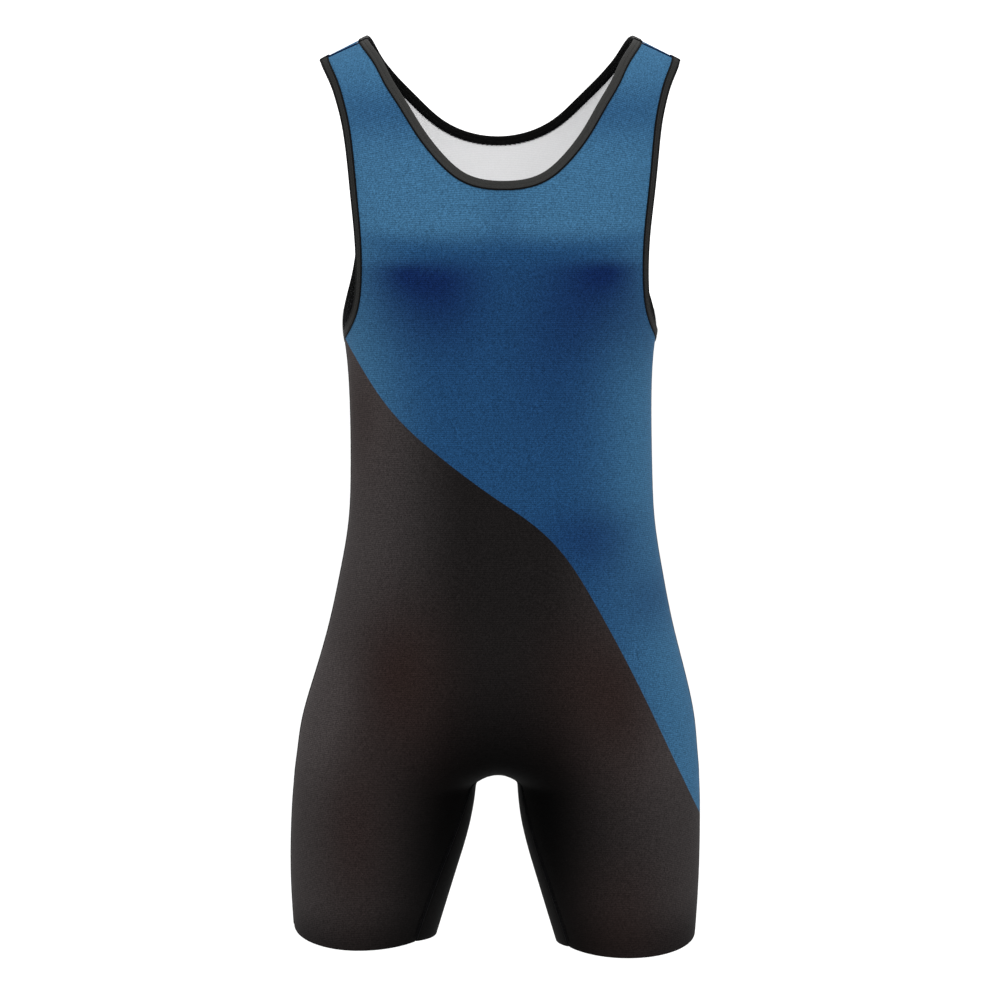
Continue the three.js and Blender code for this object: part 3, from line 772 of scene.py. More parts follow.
def dress_panel(panel, sizes, finishes):
    """Cloth of one panel: outer face, inner face, a turned-up hem with a round fold, and its other edges."""
    cloth = sizes.cloth_thickness / MM
    count = len(panel.points)
    groove = np.clip(1 - panel.from_seam / (sizes.seam_groove_width / MM), 0, 1) ** 2
    sink = sizes.seam_groove_depth / MM * groove
    thickness = np.where(panel.hem > 0, 2 * cloth + sizes.hem_gap / MM, cloth)
    drawn = panel.points + panel.draw * SEAM_DRAW
    outer = drawn - panel.normals * sink[:, None]
    inner = drawn - panel.normals * (sink + thickness)[:, None]
    faces = [panel.faces, panel.faces[:, ::-1] + count]
    turned_up = (panel.hem[panel.faces] > 0).all(axis=1)
    finish = [np.zeros(len(panel.faces)), np.where(turned_up, 0, 1)]

    edges = panel.open_edges()
    at_hem = (panel.hem[edges] == 2).all(axis=1)
    plain = edges[~at_hem]
    faces.append(np.stack([plain[:, 1], plain[:, 0], plain[:, 0] + count, plain[:, 1] + count], axis=-1))
    finish.append(np.zeros(len(plain)))

    hem_points = np.flatnonzero(panel.hem == 2)
    ring_of = np.full(count, -1)
    ring_of[hem_points] = np.arange(len(hem_points))
    down = np.zeros((count, 3))
    for hand in LEGS:
        body = panel.net[hand, "body"]
        down[body[0]] = unit(panel.points[body[0]] - panel.points[body[1]])
    half = thickness[hem_points, None] / 2
    rings = []
    for i in range(1, HEM_FOLD_STEPS):
        angle = math.pi * i / HEM_FOLD_STEPS
        fold = down[hem_points] * math.sin(angle) - panel.normals[hem_points] * (1 - math.cos(angle))
        rings.append(outer[hem_points] + fold * half)
    hem_edges = edges[at_hem]

    def ring(i, points):
        if i in (0, HEM_FOLD_STEPS):
            return points + (count if i else 0)
        return 2 * count + (i - 1) * len(hem_points) + ring_of[points]

    for i in range(HEM_FOLD_STEPS):
        start, end = hem_edges[:, 0], hem_edges[:, 1]
        faces.append(np.stack([ring(i, end), ring(i, start), ring(i + 1, start), ring(i + 1, end)], axis=-1))
        finish.append(np.zeros(len(hem_edges)))

    points = np.concatenate([outer, inner, *rings])
    name, faces, finish = f"{panel.side}_panel_cloth", np.concatenate(faces), np.concatenate(finish)
    piece = mesh_piece(name, points, faces, finishes, finish)
    cut = np.concatenate([panel.cut, panel.cut, *[panel.cut[hem_points]] * len(rings)])
    on_cloth = np.concatenate([panel.points, panel.points, *[panel.points[hem_points]] * len(rings)])
    add_fields(piece, cut, print_and_painted_light(on_cloth))
    return piece


class Bound:
    """Stations along a panel's bound edge. Each has the edge point, the point one binding width in,
    the normals of both and the way that a seam at the binding's end draws it back."""

    def __init__(self, panel, edge, hands):
        places, self.at_armhole = [], edge is ARMHOLE
        self.flange = ARMHOLE_FLANGE if self.at_armhole else 1
        for hand in hands:
            strap = panel.net[hand, "strap"]
            columns = strap[:, :2] if edge is NECK else strap[:, :-3:-1]
            back = np.zeros((len(strap), 3))
            points = panel.points[columns[:, 0]]
            back[-1] = unit(points[-2] - points[-1])
            if edge is ARMHOLE:
                back[0] = unit(points[1] - points[0])
            places.append((columns, back))
        if len(places) == 2:
            (right, right_back), (left, left_back) = places
            columns = np.concatenate([right[::-1], left[1:]])
            back = np.concatenate([right_back[::-1], left_back[1:]])
        else:
            (columns, back), = places
        self.edge, self.far = panel.points[columns[:, 0]], panel.points[columns[:, 1]]
        self.edge_normal, self.far_normal = panel.normals[columns[:, 0]], panel.normals[columns[:, 1]]
        self.across = unit(self.far - self.edge)
        slant = np.sum(back * self.across, axis=1, keepdims=True)
        self.back = unit(back - self.across * slant) * (np.linalg.norm(back, axis=1) > 0)[:, None] * SEAM_DRAW

    def at(self, into, out, width):
        """Line of points at a distance into the cloth and a height above its outer face."""
        share = max(0, into) / width
        base = lerp(self.edge, self.far, share) + self.across * min(0, into)
        return base + unit(lerp(self.edge_normal, self.far_normal, share)) * out + self.back

    def normal(self, into, width):
        return unit(lerp(self.edge_normal, self.far_normal, max(0, into) / width))


def binding_section(sizes, flange):
    """Closed section of a binding folded over a cloth edge, as points of distance into the cloth and height.
    flange is the inner face's width as a share of the outer one's."""
    width, cloth = sizes.binding_width / MM, sizes.cloth_thickness / MM
    thick, clear = sizes.binding_thickness / MM, sizes.binding_clearance / MM
    middle = -cloth / 2
    outer_radius, inner_radius = cloth / 2 + clear + thick, cloth / 2 + clear
    dent = sizes.stitch_dent / MM
    lip = thick * LIP_SHARE
    top = [(width, clear), (width, clear + thick - lip), (width - lip, clear + thick)]
    for line in STITCH_LINES:
        into = width * line
        top.append((into + DENT_REACH, clear + thick))
        top.append((into, clear + thick - dent))
        top.append((into - DENT_REACH, clear + thick))
    top.append((FOLD_EDGE, clear + thick))
    nose = [
        (-outer_radius * math.sin(a), middle + outer_radius * math.cos(a))
        for a in np.linspace(0, math.pi, OUTER_FOLD_POINTS)
    ]
    under = [(into * flange, 2 * middle - out) for into, out in reversed(top)]
    inner_nose = [
        (-inner_radius * math.sin(a), middle - inner_radius * math.cos(a))
        for a in np.linspace(0, math.pi, INNER_FOLD_POINTS)
    ]
    return [*top, *nose, *under, *inner_nose]


def dress_binding(name, bound, sizes, finishes):
    """One folded binding along its stations: charcoal outside, and black painted shade on its cut edges and
    its inner flange, and round the fold of an armhole."""
    section = binding_section(sizes, bound.flange)
    width = sizes.binding_width / MM
    points = np.stack([bound.at(into, out, width) for into, out in section], axis=1)
    rings, sides = points.shape[:2]
    index = np.arange(rings * sides).reshape(rings, sides)
    closed = np.concatenate([index, index[:, :1]], axis=1)
    faces = [list(face) for face in patch_faces(closed)]
    middle = -sizes.cloth_thickness / MM / 2
    # Faces painted black as shade: the inner flange, the cut edges and an armhole's fold.
    black = [out < middle and section[(i + 1) % sides][1] < middle for i, (_, out) in enumerate(section)]
    black[0] = black[1] = black[2] = black[-1] = True
    if bound.at_armhole:
        black = [dark or into <= FOLD_EDGE for dark, (into, _) in zip(black, section)]
    finish = black * (rings - 1) + [False, False]
    faces += [list(index[0]), list(index[-1][::-1])]
    if volume_of(points.reshape(-1, 3), faces) < 0:
        faces = [face[::-1] for face in faces]
    return mesh_piece(name, points.reshape(-1, 3), faces, finishes, finish, smooth_angle=60)


def volume_of(points, faces):
    """Signed volume inside closed faces, which is above zero where they point out."""
    total = 0.0
    for face in faces:
        fan = points[face]
        total += np.sum(fan[0] * np.cross(fan[1:-1], fan[2:]))
    return total / 6


def between(at, along, rows):
    """Rows of numbers at places between those of the given rows along a line."""
    return np.stack([np.interp(at, along, column) for column in rows.T], axis=-1)


def resample(line, normals, spacing):
    """Points and normals at an even spacing along a line."""
    along = steps_along(line)
    count = max(2, int(round(along[-1] / spacing)) + 1)
    at = np.linspace(0, along[-1], count)
    return between(at, along, line), unit(between(at, along, normals))


def tubes(centres, normals, half_width, half_height, sides):
    """Closed tubes along lines of points, as points and faces. centres is (tubes, steps, 3), and
    half_width and half_height are one number or one for each step."""
    lines, steps = centres.shape[:2]
    tangent = unit(np.gradient(centres, axis=1))
    sideways = unit(np.cross(tangent, normals))
    up = np.cross(sideways, tangent)
    angles = np.arange(sides) * 2 * math.pi / sides
    wide = np.broadcast_to(half_width, (steps,))[None, :, None, None] * np.cos(angles)[None, None, :, None]
    high = np.broadcast_to(half_height, (steps,))[None, :, None, None] * np.sin(angles)[None, None, :, None]
    points = centres[:, :, None] + sideways[:, :, None] * wide + up[:, :, None] * high
    index = np.arange(lines * steps * sides).reshape(lines, steps, sides)
    closed = np.concatenate([index, index[:, :, :1]], axis=2)
    a, b, c, d = closed[:, :-1, :-1], closed[:, :-1, 1:], closed[:, 1:, 1:], closed[:, 1:, :-1]
    faces = np.stack([a, d, c, b], axis=-1).reshape(-1, 4).tolist()
    faces += index[:, 0, :].tolist() + index[:, -1, ::-1].tolist()
    return points.reshape(-1, 3), faces


def stitches(line, normals, sizes):
    """One row of lockstitches along a line that lies on the cloth."""
    length, gap = sizes.stitch_length / MM, sizes.stitch_gap / MM
    radius = sizes.thread_diameter / MM / 2
    marks, directions = resample(line, normals, length + gap)
    start, end = marks[:-1], marks[1:]
    reach = length / (length + gap)
    shares = np.linspace(0, reach, len(STITCH_LIFTS))
    lift = np.array(STITCH_LIFTS) * radius
    centres = start[:, None] + (end - start)[:, None] * shares[None, :, None]
    up = np.repeat(directions[:-1, None], len(STITCH_LIFTS), axis=1)
    centres = centres + up * lift[None, :, None]
    return tubes(centres, up, radius * np.array(STITCH_WIDTHS), radius, STITCH_SIDES)


def zigzag(line, other, normals, spacing, radius, lift):
    """One thread that runs to and fro between two lines on the cloth."""
    first, directions = resample(line, normals, spacing)
    count = len(first)
    along = np.linspace(0, len(other) - 1, count)
    second = between(along, np.arange(len(other)), other)
    odd = (np.arange(count) % 2)[:, None]
    centres = np.where(odd, second, first) + directions * lift
    return tubes(centres[None], directions[None], radius, radius, ZIGZAG_SIDES)


def joined(name, parts, finish):
    """One object from several lists of points and faces."""
    points, faces, count = [], [], 0
    for part_points, part_faces in parts:
        points.append(part_points)
        faces += [[corner + count for corner in face] for face in part_faces]
        count += len(part_points)
    return mesh_piece(name, np.concatenate(points), faces, [finish], smooth_angle=60)


def inset_line(panel, rows, distance):
    """Line at a distance from the first point of each row, with its normals."""
    points, normals = [], []
    for row in rows:
        places = panel.points[row]
        along = steps_along(places)
        points.append(between(distance, along, places))
        normals.append(between(distance, along, panel.normals[row]))
    return np.array(points), unit(np.array(normals))


def linear(hex_colour):
    """Linear red, green and blue of an sRGB hex colour."""
    parts = [int(hex_colour[i:i + 2], 16) / 255 for i in (1, 3, 5)]
    return tuple(part / 12.92 if part <= 0.04045 else ((part + 0.055) / 1.055) ** 2.4 for part in parts)


def add_node(tree, kind, values=None, links=None, **settings):
    """Adds a node, sets its properties and its sockets' values, and links its sockets to outputs."""
    node = tree.nodes.new(kind)
    for name, value in settings.items():
        setattr(node, name, value)
    for socket, value in (values or {}).items():
        node.inputs[socket].default_value = value
    for socket, source in (links or {}).items():
        tree.links.new(source, node.inputs[socket])
    return node


def new_material(name):
    """An empty material, its node tree and the place on the piece that its patterns read."""
    material = bpy.data.materials.new(name)
    material.use_nodes = True
    tree = material.node_tree
    tree.nodes.clear()
    return material, tree, add_node(tree, "ShaderNodeTexCoord").outputs["Object"]


def finish_material(tree, colour, height, bump_depth, roughness, sheen, sheen_tint, gloss):
    """Shader of a matt knit or thread: its colour, its bump and the soft sheen of its fibre ends."""
    bump = add_node(tree, "ShaderNodeBump", {"Strength": 1.0, "Distance": bump_depth}, {"Height": height})
    shader = add_node(
        tree, "ShaderNodeBsdfPrincipled",
        {"Roughness": roughness, "IOR": FIBRE_IOR, "Specular IOR Level": gloss, "Sheen Weight": sheen,
         "Sheen Roughness": SHEEN_ROUGHNESS, "Sheen Tint": (*linear(sheen_tint), 1)},
        {"Base Color": colour, "Normal": bump.outputs["Normal"]},
    )
    add_node(tree, "ShaderNodeOutputMaterial", links={"Surface": shader.outputs["BSDF"]})


def knit_relief(tree, place):
    """Mottle of a fine interlock knit, and its relief of grain and courses, as two values about one half.
    Its loops are about 0.5 mm, too fine to show, so the grain is drawn at 1.1 mm, the courses at 1.8 mm
    and the mottle at 1.5 mm."""
    mottle = add_node(
        tree, "ShaderNodeTexNoise", {"Scale": 1 / (KNIT_MOTTLE * MM), "Detail": 2.0, "Roughness": 0.6},
        {"Vector": place},
    )
    grain = add_node(
        tree, "ShaderNodeTexNoise", {"Scale": 1 / (KNIT_GRAIN * MM), "Detail": 1.0}, {"Vector": place},
    )
    cut = add_node(tree, "ShaderNodeUVMap", uv_map="Cut")
    courses = add_node(
        tree, "ShaderNodeTexWave",
        {"Scale": WAVE_UNIT / (KNIT_COURSE * MM), "Distortion": 0.6, "Detail": 1.0, "Detail Scale": 1.5},
        {"Vector": cut.outputs["UV"]}, bands_direction="Y",
    )
    both = add_node(
        tree, "ShaderNodeMix", {"Factor": 0.3}, {"A": grain.outputs["Fac"], "B": courses.outputs["Fac"]},
    )
    return mottle.outputs["Fac"], both.outputs["Result"]


def shade_by(tree, colour, value, shades):
    """Colour made darker or lighter by a value about one half: shades are the least and the most times
    itself that it gets."""
    amount = add_node(
        tree, "ShaderNodeMapRange",
        {"From Min": NOISE_RANGE[0], "From Max": NOISE_RANGE[1], "To Min": shades[0], "To Max": shades[1]},
        {"Value": value}, clamp=True,
    ).outputs["Result"]
    grey = add_node(tree, "ShaderNodeCombineColor", links={"Red": amount, "Green": amount, "Blue": amount})
    mixed = add_node(tree, "ShaderNodeMix", {"Factor": 1.0}, data_type="RGBA", blend_type="MULTIPLY")
    tree.links.new(colour, mixed.inputs["A"])
    tree.links.new(grey.outputs["Color"], mixed.inputs["B"])
    return mixed.outputs["Result"]


def mix_colours(tree, factor, first, second):
    """Colour between two, each a colour or an output."""
    mixed = add_node(tree, "ShaderNodeMix", data_type="RGBA")
    sockets = [socket for socket in mixed.inputs if socket.type == "RGBA"]
    for socket, value in zip(sockets, (first, second)):
        if isinstance(value, tuple):
            socket.default_value = (*value, 1)
        else:
            tree.links.new(value, socket)
    tree.links.new(factor, mixed.inputs["Factor"])
    return next(out for out in mixed.outputs if out.type == "RGBA")


def printed_knit(colours):
    """Polyester and elastane knit, dyed through by heat transfer: matt, with crisp print edges and a fine
    grain. Painted light makes it paler over the upper chest, round the sides and on the belly, painted shade
    deepens the blue below the chest and at the hip and darkens the hems, and a warm painted sheen tints the
    black."""
    material, tree, place = new_material("sublimation_printed_interlock")
    mottle, relief = knit_relief(tree, place)

    def field(name):
        return add_node(tree, "ShaderNodeAttribute", attribute_name=name).outputs["Fac"]

    # Painted light and painted shade on the blue.
    blue = mix_colours(tree, field("blue_painted_light"), tuple(colours.blue), tuple(colours.blue_painted_light))
    blue = mix_colours(tree, field("blue_painted_shade"), blue, tuple(colours.blue_painted_shade))
    # Painted light and a warm painted sheen on the black.
    black = mix_colours(tree, field("black_painted_light"), tuple(colours.black), tuple(colours.black_painted_light))
    black = mix_colours(tree, field("black_painted_sheen"), black, tuple(colours.black_painted_sheen))
    edge = add_node(
        tree, "ShaderNodeMapRange", {"From Min": -PRINT_BLEED, "From Max": PRINT_BLEED},
        {"Value": field("print_side")},
    )
    printed = mix_colours(tree, edge.outputs["Result"], black, blue)
    shaded = shade_by(tree, shade_by(tree, printed, mottle, MOTTLE_SHADES), relief, GRAIN_SHADES)
    finish_material(
        tree, shaded, relief, bump_depth=0.00012, roughness=0.8, sheen=0.006,
        sheen_tint="#ffffff", gloss=0.02,
    )
    return material


def plain_knit(name, colour, sheen, contrast):
    """The same knit where it isn't printed, or an elastic knit of one colour: matt, with a fine grain."""
    material, tree, place = new_material(name)
    mottle, relief = knit_relief(tree, place)
    base = mix_colours(tree, mottle, tuple(colour), tuple(colour))
    shades = (1 - contrast, 1 + contrast)
    shaded = shade_by(tree, shade_by(tree, base, mottle, shades), relief, shades)
    finish_material(
        tree, shaded, relief, bump_depth=0.00008, roughness=ELASTIC_ROUGHNESS, sheen=sheen,
        sheen_tint="#f0f0f0", gloss=0.1,
    )
    return material


def spun_thread(name, colour):
    """Spun polyester sewing thread: a low, fibrous gloss with fine lengthwise variation."""
    material, tree, place = new_material(name)
    fibre = add_node(
        tree, "ShaderNodeTexNoise", {"Scale": 1 / (FIBRE_SIZE * MM), "Detail": 1.0}, {"Vector": place},
    ).outputs["Fac"]
    base = mix_colours(tree, fibre, tuple(colour), tuple(min(1, FIBRE_SHINE * part) for part in colour))
    finish_material(
        tree, base, fibre, bump_depth=0.00004, roughness=0.7, sheen=0.005, sheen_tint="#f0f0f0", gloss=0.03,
    )
    return material


def painted_floor(colour):
    """Pale matt studio floor."""
    material, tree, place = new_material("matt_studio_paint")
    cloud = add_node(tree, "ShaderNodeTexNoise", {"Scale": 0.8}, {"Vector": place}).outputs["Fac"]
    base = mix_colours(tree, cloud, tuple(colour), tuple(colour))
    shader = add_node(tree, "ShaderNodeBsdfPrincipled", {"Roughness": 0.9}, {"Base Color": base})
    add_node(tree, "ShaderNodeOutputMaterial", links={"Surface": shader.outputs["BSDF"]})
    return material


MATERIALS = {}


def materials(colours):
    """The garment's materials, made once from the colours."""
    if not MATERIALS:
        MATERIALS.update(
            printed=printed_knit(colours),
            inside=plain_knit("unprinted_interlock", colours.inside, sheen=0.05, contrast=0.025),
            binding=plain_knit("charcoal_folded_elastic", colours.binding, sheen=0.06, contrast=0.12),
            # The armhole bindings' knit is the charcoal binding knit darkened with painted shade.
            armhole_binding=plain_knit(
                "painted_shade_folded_elastic", colours.armhole_binding, sheen=0.03, contrast=0.12,
            ),
            # The black flange knit is painted shade on the bindings' inner faces, cut edges and armhole
            # folds.
            flange=plain_knit("painted_shade_black_elastic", colours.flange, sheen=0.005, contrast=0.2),
            thread=spun_thread("black_spun_polyester", colours.thread),
            grey_thread=spun_thread("charcoal_spun_polyester", colours.grey_thread),
            navy_thread=spun_thread("navy_spun_polyester", colours.navy_thread),
        )
    return MATERIALS


def size_property(name, description, millimetres):
    return FloatProperty(name=name, description=description, default=millimetres * MM, unit="LENGTH")


def colour_property(name, description, hex_colour):
    colour = linear(hex_colour)
    return FloatVectorProperty(name=name, description=description, default=colour, subtype="COLOR")


class SingletSizes(bpy.types.PropertyGroup):
    cloth_thickness: size_property("Cloth", "Thickness of the stretch knit", 0.9)
    hem_gap: size_property("Hem gap", "Space between the layers of the turned-up hem", 0.2)
    binding_width: size_property("Binding", "Width of the folded binding", 7.4)
    binding_tip_width: size_property(
        "Binding at the side seam", "Length of the side seam that the bindings cover", 9,
    )
    binding_thickness: size_property("Binding cloth", "Thickness of the binding's knit", 0.8)
    binding_clearance: size_property("Binding clearance", "Space between the binding and the cloth", 0.15)
    stitch_dent: size_property("Stitch dent", "Depth that a stitch line pulls the binding in", 0.3)
    stitch_length: size_property("Stitch", "Length of a stitch", 2.2)
    stitch_gap: size_property("Stitch gap", "Space between two stitches", 0.6)
    thread_diameter: size_property("Thread", "Diameter of the sewing thread", 0.45)
    seam_groove_width: size_property("Seam groove", "Distance from a seam where the cloth starts to dip", 3.5)
    seam_groove_depth: size_property("Seam groove depth", "Depth of the dip at a seam", 0.8)
    seam_width: size_property("Seam", "Width of the dark line that a seam shows", 2.2)
    seam_sink: size_property("Seam sink", "Depth of the seam's line below the cloth beside it", 0.35)


class SingletColours(bpy.types.PropertyGroup):
    blue: colour_property("Blue", "Printed blue", "#193a5c")
    # Painted light and painted shade on the blue.
    blue_painted_light: colour_property("Pale blue", "The blue where the knit is stretched", "#325977")
    blue_painted_shade: colour_property("Deep blue", "The blue where the print is deepest", "#0b1e44")
    black: colour_property("Black", "Printed black", "#020202")
    # Painted light and a warm painted sheen on the black.
    black_painted_light: colour_property("Pale black", "The black where the knit is stretched", "#3a3636")
    black_painted_sheen: colour_property("Warm black", "Warm cast of the printed black", "#221816")
    inside: colour_property("Inside", "Unprinted inner face", "#d8d8d9")
    binding: colour_property("Binding", "Outer face of the neck bindings", "#2e2e2d")
    # The armhole bindings' colour is the binding charcoal darkened with painted shade.
    armhole_binding: colour_property("Armhole binding", "Outer face of the armhole bindings", "#1e1e1d")
    # The flange's black is painted shade.
    flange: colour_property("Flange", "Inner face and cut edge of the bindings", "#030303")
    thread: colour_property("Black thread", "Thread of the side seams and inseams", "#020203")
    grey_thread: colour_property("Grey thread", "Thread of the bindings", "#2c2c2b")
    navy_thread: colour_property("Navy thread", "Thread of the shoulder seams", "#06142f")
    floor: colour_property("Floor", "Studio floor", "#ffffff")


def attach(piece, slot, *nodes):
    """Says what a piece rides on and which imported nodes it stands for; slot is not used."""
    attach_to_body(piece, "root")
    if nodes:
        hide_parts(*nodes)
    return piece


def workshop(context):
    """The sizes, and the materials made from the colours."""
    return context.scene.singlet_sizes, materials(context.scene.singlet_colours)


def sew(name, parts, finish, slot):
    """One piece of seam lines or thread, from several lists of points and faces."""
    return attach(joined(name, parts, finish), slot)


class SINGLET_OT_panels(bpy.types.Operator):
    """Cut the front and back panels, filled out as worn, with turned-up hems"""

    bl_idname = "singlet.panels"
    bl_label = "Panels"

    def execute(self, context):
        sizes, finish = workshop(context)
        for side, panel in panels(sizes).items():
            piece = dress_panel(panel, sizes, [finish["printed"], finish["inside"]])
            attach(piece, "printed_knit", f"{side}_panel")
        return {"FINISHED"}


class SINGLET_OT_bindings(bpy.types.Operator):
    """Fold the six bindings over the neck and armhole edges"""

    bl_idname = "singlet.bindings"
    bl_label = "Bindings"

    def execute(self, context):
        sizes, finish = workshop(context)
        for node, bound in bounds_of(sizes).items():
            # Armhole bindings take the copy darkened with painted shade.
            outer = finish["armhole_binding" if bound.at_armhole else "binding"]
            piece = dress_binding(node + "_cloth", bound, sizes, [outer, finish["flange"]])
            attach(piece, "binding_knit", node)
        return {"FINISHED"}


def bounds_of(sizes):
    """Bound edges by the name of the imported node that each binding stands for."""
    made = {}
    for side, panel in panels(sizes).items():
        made[f"{side}_neck_binding"] = Bound(panel, NECK, (-1, 1))
        for name, hand in HANDS:
            made[f"{name}_{side}_armhole_binding"] = Bound(panel, ARMHOLE, (hand,))
    return made


def seam_tube(line, normals, sizes, height=0.0):
    """Dark rounded line that a seam shows, along a line of the cloth."""
    centres = line + normals * height
    width = sizes.seam_width / MM / 2
    return tubes(centres[None], normals[None], width, width * SEAM_HEIGHT_SHARE, SEAM_SIDES)


def bound_end(bound, station, sizes):
    """Seam line over a binding's end, from its inner flange round the fold to its outer one."""
    width, cloth = sizes.binding_width / MM, sizes.cloth_thickness / MM
    top = (sizes.binding_clearance + sizes.binding_thickness) / MM
    reach = top + cloth / 2
    turn = np.linspace(0, math.pi, INNER_FOLD_POINTS)
    fold = [(-reach * math.sin(a), reach * math.cos(a) - cloth / 2) for a in turn]
    section = [(width, top), (width / 2, top), *fold, (width / 2, -cloth - top)]
    line = np.array([bound.at(into, out, width)[station] for into, out in section])
    normals = unit(line - bound.at(width / 2, -cloth / 2, width)[station])
    return seam_tube(line, normals, sizes, BINDING_SEAM_LIFT)


class SINGLET_OT_seams(bpy.types.Operator):
    """Close the side seams, the inseams and the shoulder seams"""

    bl_idname = "singlet.seams"
    bl_label = "Seams"

    def execute(self, context):
        sizes, finish = workshop(context)
        front = panels(sizes)["front"]
        legs = []
        for name, hand in HANDS:
            body, strap = front.net[hand, "body"], front.net[hand, "strap"]
            side, shoulder = body[:, -1], strap[-1]
            line = seam_tube(front.points[side], front.normals[side], sizes)
            sew(f"{name}_side_seam", [line], finish["thread"], "printed_knit")
            legs.append(body[:front.leg_rows + 1, 0])
            forward = unit(front.points[strap[-2]] - front.points[shoulder]) * sizes.seam_width / MM / 4
            places = front.points[shoulder] + forward
            line = seam_tube(places, front.normals[shoulder], sizes, SHOULDER_SEAM_LIFT)
            sew(f"{name}_shoulder_seam", [line], finish["navy_thread"], "printed_knit")
        ends = []
        for node, bound in bounds_of(sizes).items():
            if "front" in node:
                for station in ((0, -1) if "neck" in node else (-1,)):
                    ends.append(bound_end(bound, station, sizes))
        sew("binding_seams", ends, finish["thread"], "binding_knit")
        inseam = np.concatenate([legs[0], legs[1][-2::-1]])
        line = seam_tube(front.points[inseam], front.normals[inseam], sizes, -sizes.seam_sink / MM)
        sew("inseam", [line], finish["thread"], "printed_knit")
        return {"FINISHED"}


class SINGLET_OT_stitching(bpy.types.Operator):
    """Sew the needle lines of the bindings and the inseam, and the overlocked edges inside"""

    bl_idname = "singlet.stitching"
    bl_label = "Stitching"

    def execute(self, context):
        sizes, finish = workshop(context)
        width, cloth = sizes.binding_width / MM, sizes.cloth_thickness / MM
        radius = sizes.thread_diameter / MM / 2
        dented = (sizes.binding_clearance + sizes.binding_thickness - sizes.stitch_dent) / MM
        under = -cloth - sizes.binding_clearance / MM
        for node, bound in bounds_of(sizes).items():
            outer, inner = [], []
            for line in STITCH_LINES:
                into, rise = width * line, radius * STITCH_RISE
                normal = bound.normal(into, width)
                outer.append(stitches(bound.at(into, dented + rise, width), normal, sizes))
                facing = bound.at(into * bound.flange, -cloth - dented - rise, width)
                inner.append(stitches(facing, -normal, sizes))
            sew(f"{node}_stitching", outer, finish["grey_thread"], "binding_knit")
            end = width * bound.flange
            inner.append(zigzag(
                bound.at(end - OVERLOCK_INSET, under - sizes.binding_thickness / MM, width),
                bound.at(end, under, width) + (bound.far - bound.edge) * OVERLOCK_REACH,
                -bound.far_normal, OVERLOCK_PITCH, radius, OVERLOCK_LIFT,
            ))
            sew(f"{node}_inner_stitching", inner, finish["thread"], "binding_knit")
        front = panels(sizes)["front"]
        parts = []
        for hand in LEGS:
            rows = front.net[hand, "body"][1:front.leg_rows]
            lines = [inset_line(front, rows, distance) for distance in COVERSTITCH_INSETS]
            for line, normals in lines:
                parts.append(stitches(line + normals * COVERSTITCH_LIFT, normals, sizes))
            (first, normals), (second, _) = lines
            fine = radius * COVERSTITCH_FINENESS
            parts.append(zigzag(first, second, normals, COVERSTITCH_PITCH, fine, 0.0))
        sew("inseam_coverstitch", parts, finish["thread"], "printed_knit")
        return {"FINISHED"}


def area_light(name, place, target, size, power):
    """Soft square light at a place, turned to a target."""
    bpy.ops.object.light_add(type="AREA", location=place)
    light = bpy.context.object
    light.name = name
    light.data.size = size
    light.data.energy = power
    light.rotation_euler = (Vector(target) - Vector(place)).to_track_quat("-Z", "Y").to_euler()


def white_studio():
    """World of a white studio: a bright backdrop behind the garment, and a dimmer room in front."""
    world = bpy.data.worlds.new("white_studio")
    world.use_nodes = True
    tree = world.node_tree
    tree.nodes.clear()
    way = add_node(tree, "ShaderNodeTexCoord").outputs["Generated"]
    depth = add_node(tree, "ShaderNodeSeparateXYZ", links={"Vector": way}).outputs["Y"]
    strength = add_node(
        tree, "ShaderNodeMapRange",
        {"From Min": BACKDROP_FADE[0], "From Max": BACKDROP_FADE[1],
         "To Min": ROOM_LIGHT, "To Max": BACKDROP_LIGHT},
        {"Value": depth},
    ).outputs["Result"]
    sky = add_node(tree, "ShaderNodeBackground", {"Color": (1, 1, 1, 1)}, {"Strength": strength})
    add_node(tree, "ShaderNodeOutputWorld", links={"Surface": sky.outputs["Background"]})
    return world


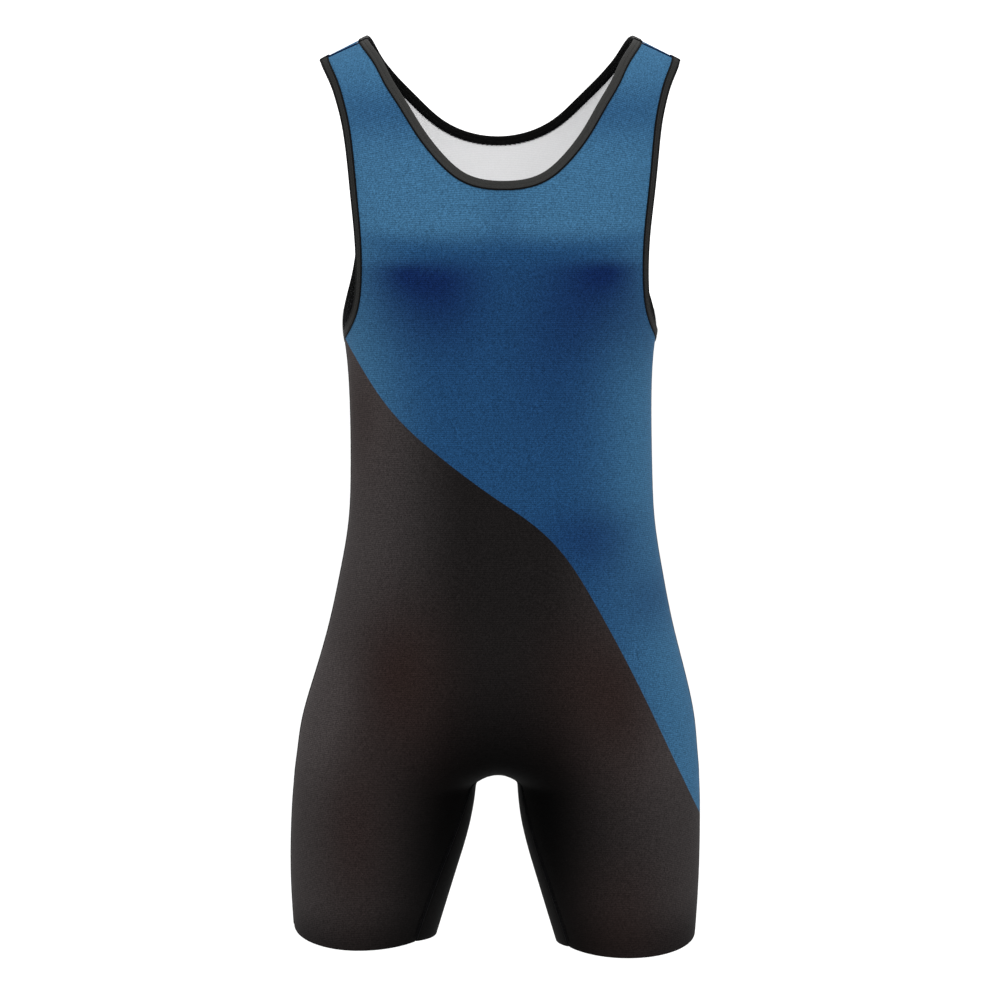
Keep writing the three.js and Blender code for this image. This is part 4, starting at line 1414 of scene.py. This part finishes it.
class SINGLET_OT_stage(bpy.types.Operator):
    """Set the camera, the soft lights and the pale floor"""

    bl_idname = "singlet.stage"
    bl_label = "Stage"

    def execute(self, context):
        centre = Vector(FRAME_CENTRE)
        level = math.cos(VIEW_ELEVATION) * VIEW_DISTANCE
        rise = math.sin(VIEW_ELEVATION) * VIEW_DISTANCE
        place = centre + Vector((math.sin(VIEW_AZIMUTH) * level, -math.cos(VIEW_AZIMUTH) * level, rise))
        bpy.ops.object.camera_add(location=place)
        camera = context.object
        camera.name = "camera"
        camera.rotation_euler = (centre - place).to_track_quat("-Z", "Y").to_euler()
        camera.data.angle = 2 * math.atan(FRAME_WIDTH / 2 / VIEW_DISTANCE)
        context.scene.camera = camera

        bpy.ops.mesh.primitive_plane_add(size=FLOOR_SIZE, location=(0, 0, CAD_BOX[0][2] - FLOOR_BELOW))
        floor = context.object
        floor.name = "floor"
        floor.data.materials.append(painted_floor(context.scene.singlet_colours.floor))

        for light in LIGHTS:
            area_light(*light)
        context.scene.world = white_studio()
        context.scene.view_settings.view_transform = "Standard"
        return {"FINISHED"}


class SINGLET_PT_panel(bpy.types.Panel):
    """Lists the steps in the order they are made"""

    bl_idname = "SINGLET_PT_panel"
    bl_label = "Wrestling singlet"
    bl_space_type = "VIEW_3D"
    bl_region_type = "UI"
    bl_category = "Singlet"

    def draw(self, context):
        for step in STEPS:
            self.layout.operator(step.bl_idname)
        for group in (context.scene.singlet_sizes, context.scene.singlet_colours):
            for name in group.bl_rna.properties.keys()[2:]:
                self.layout.prop(group, name)


STEPS = (SINGLET_OT_stage, SINGLET_OT_panels, SINGLET_OT_bindings, SINGLET_OT_seams, SINGLET_OT_stitching)
CLASSES = (SingletSizes, SingletColours, *STEPS, SINGLET_PT_panel)


def register():
    for kind in CLASSES:
        bpy.utils.register_class(kind)
    bpy.types.Scene.singlet_sizes = PointerProperty(type=SingletSizes)
    bpy.types.Scene.singlet_colours = PointerProperty(type=SingletColours)


def unregister():
    del bpy.types.Scene.singlet_colours
    del bpy.types.Scene.singlet_sizes
    for kind in reversed(CLASSES):
        bpy.utils.unregister_class(kind)


def main():
    register()
    bpy.ops.singlet.stage()
    bpy.ops.singlet.panels()
    bpy.ops.singlet.bindings()
    bpy.ops.singlet.seams()
    bpy.ops.singlet.stitching()


if __name__ == "__main__":
    main()
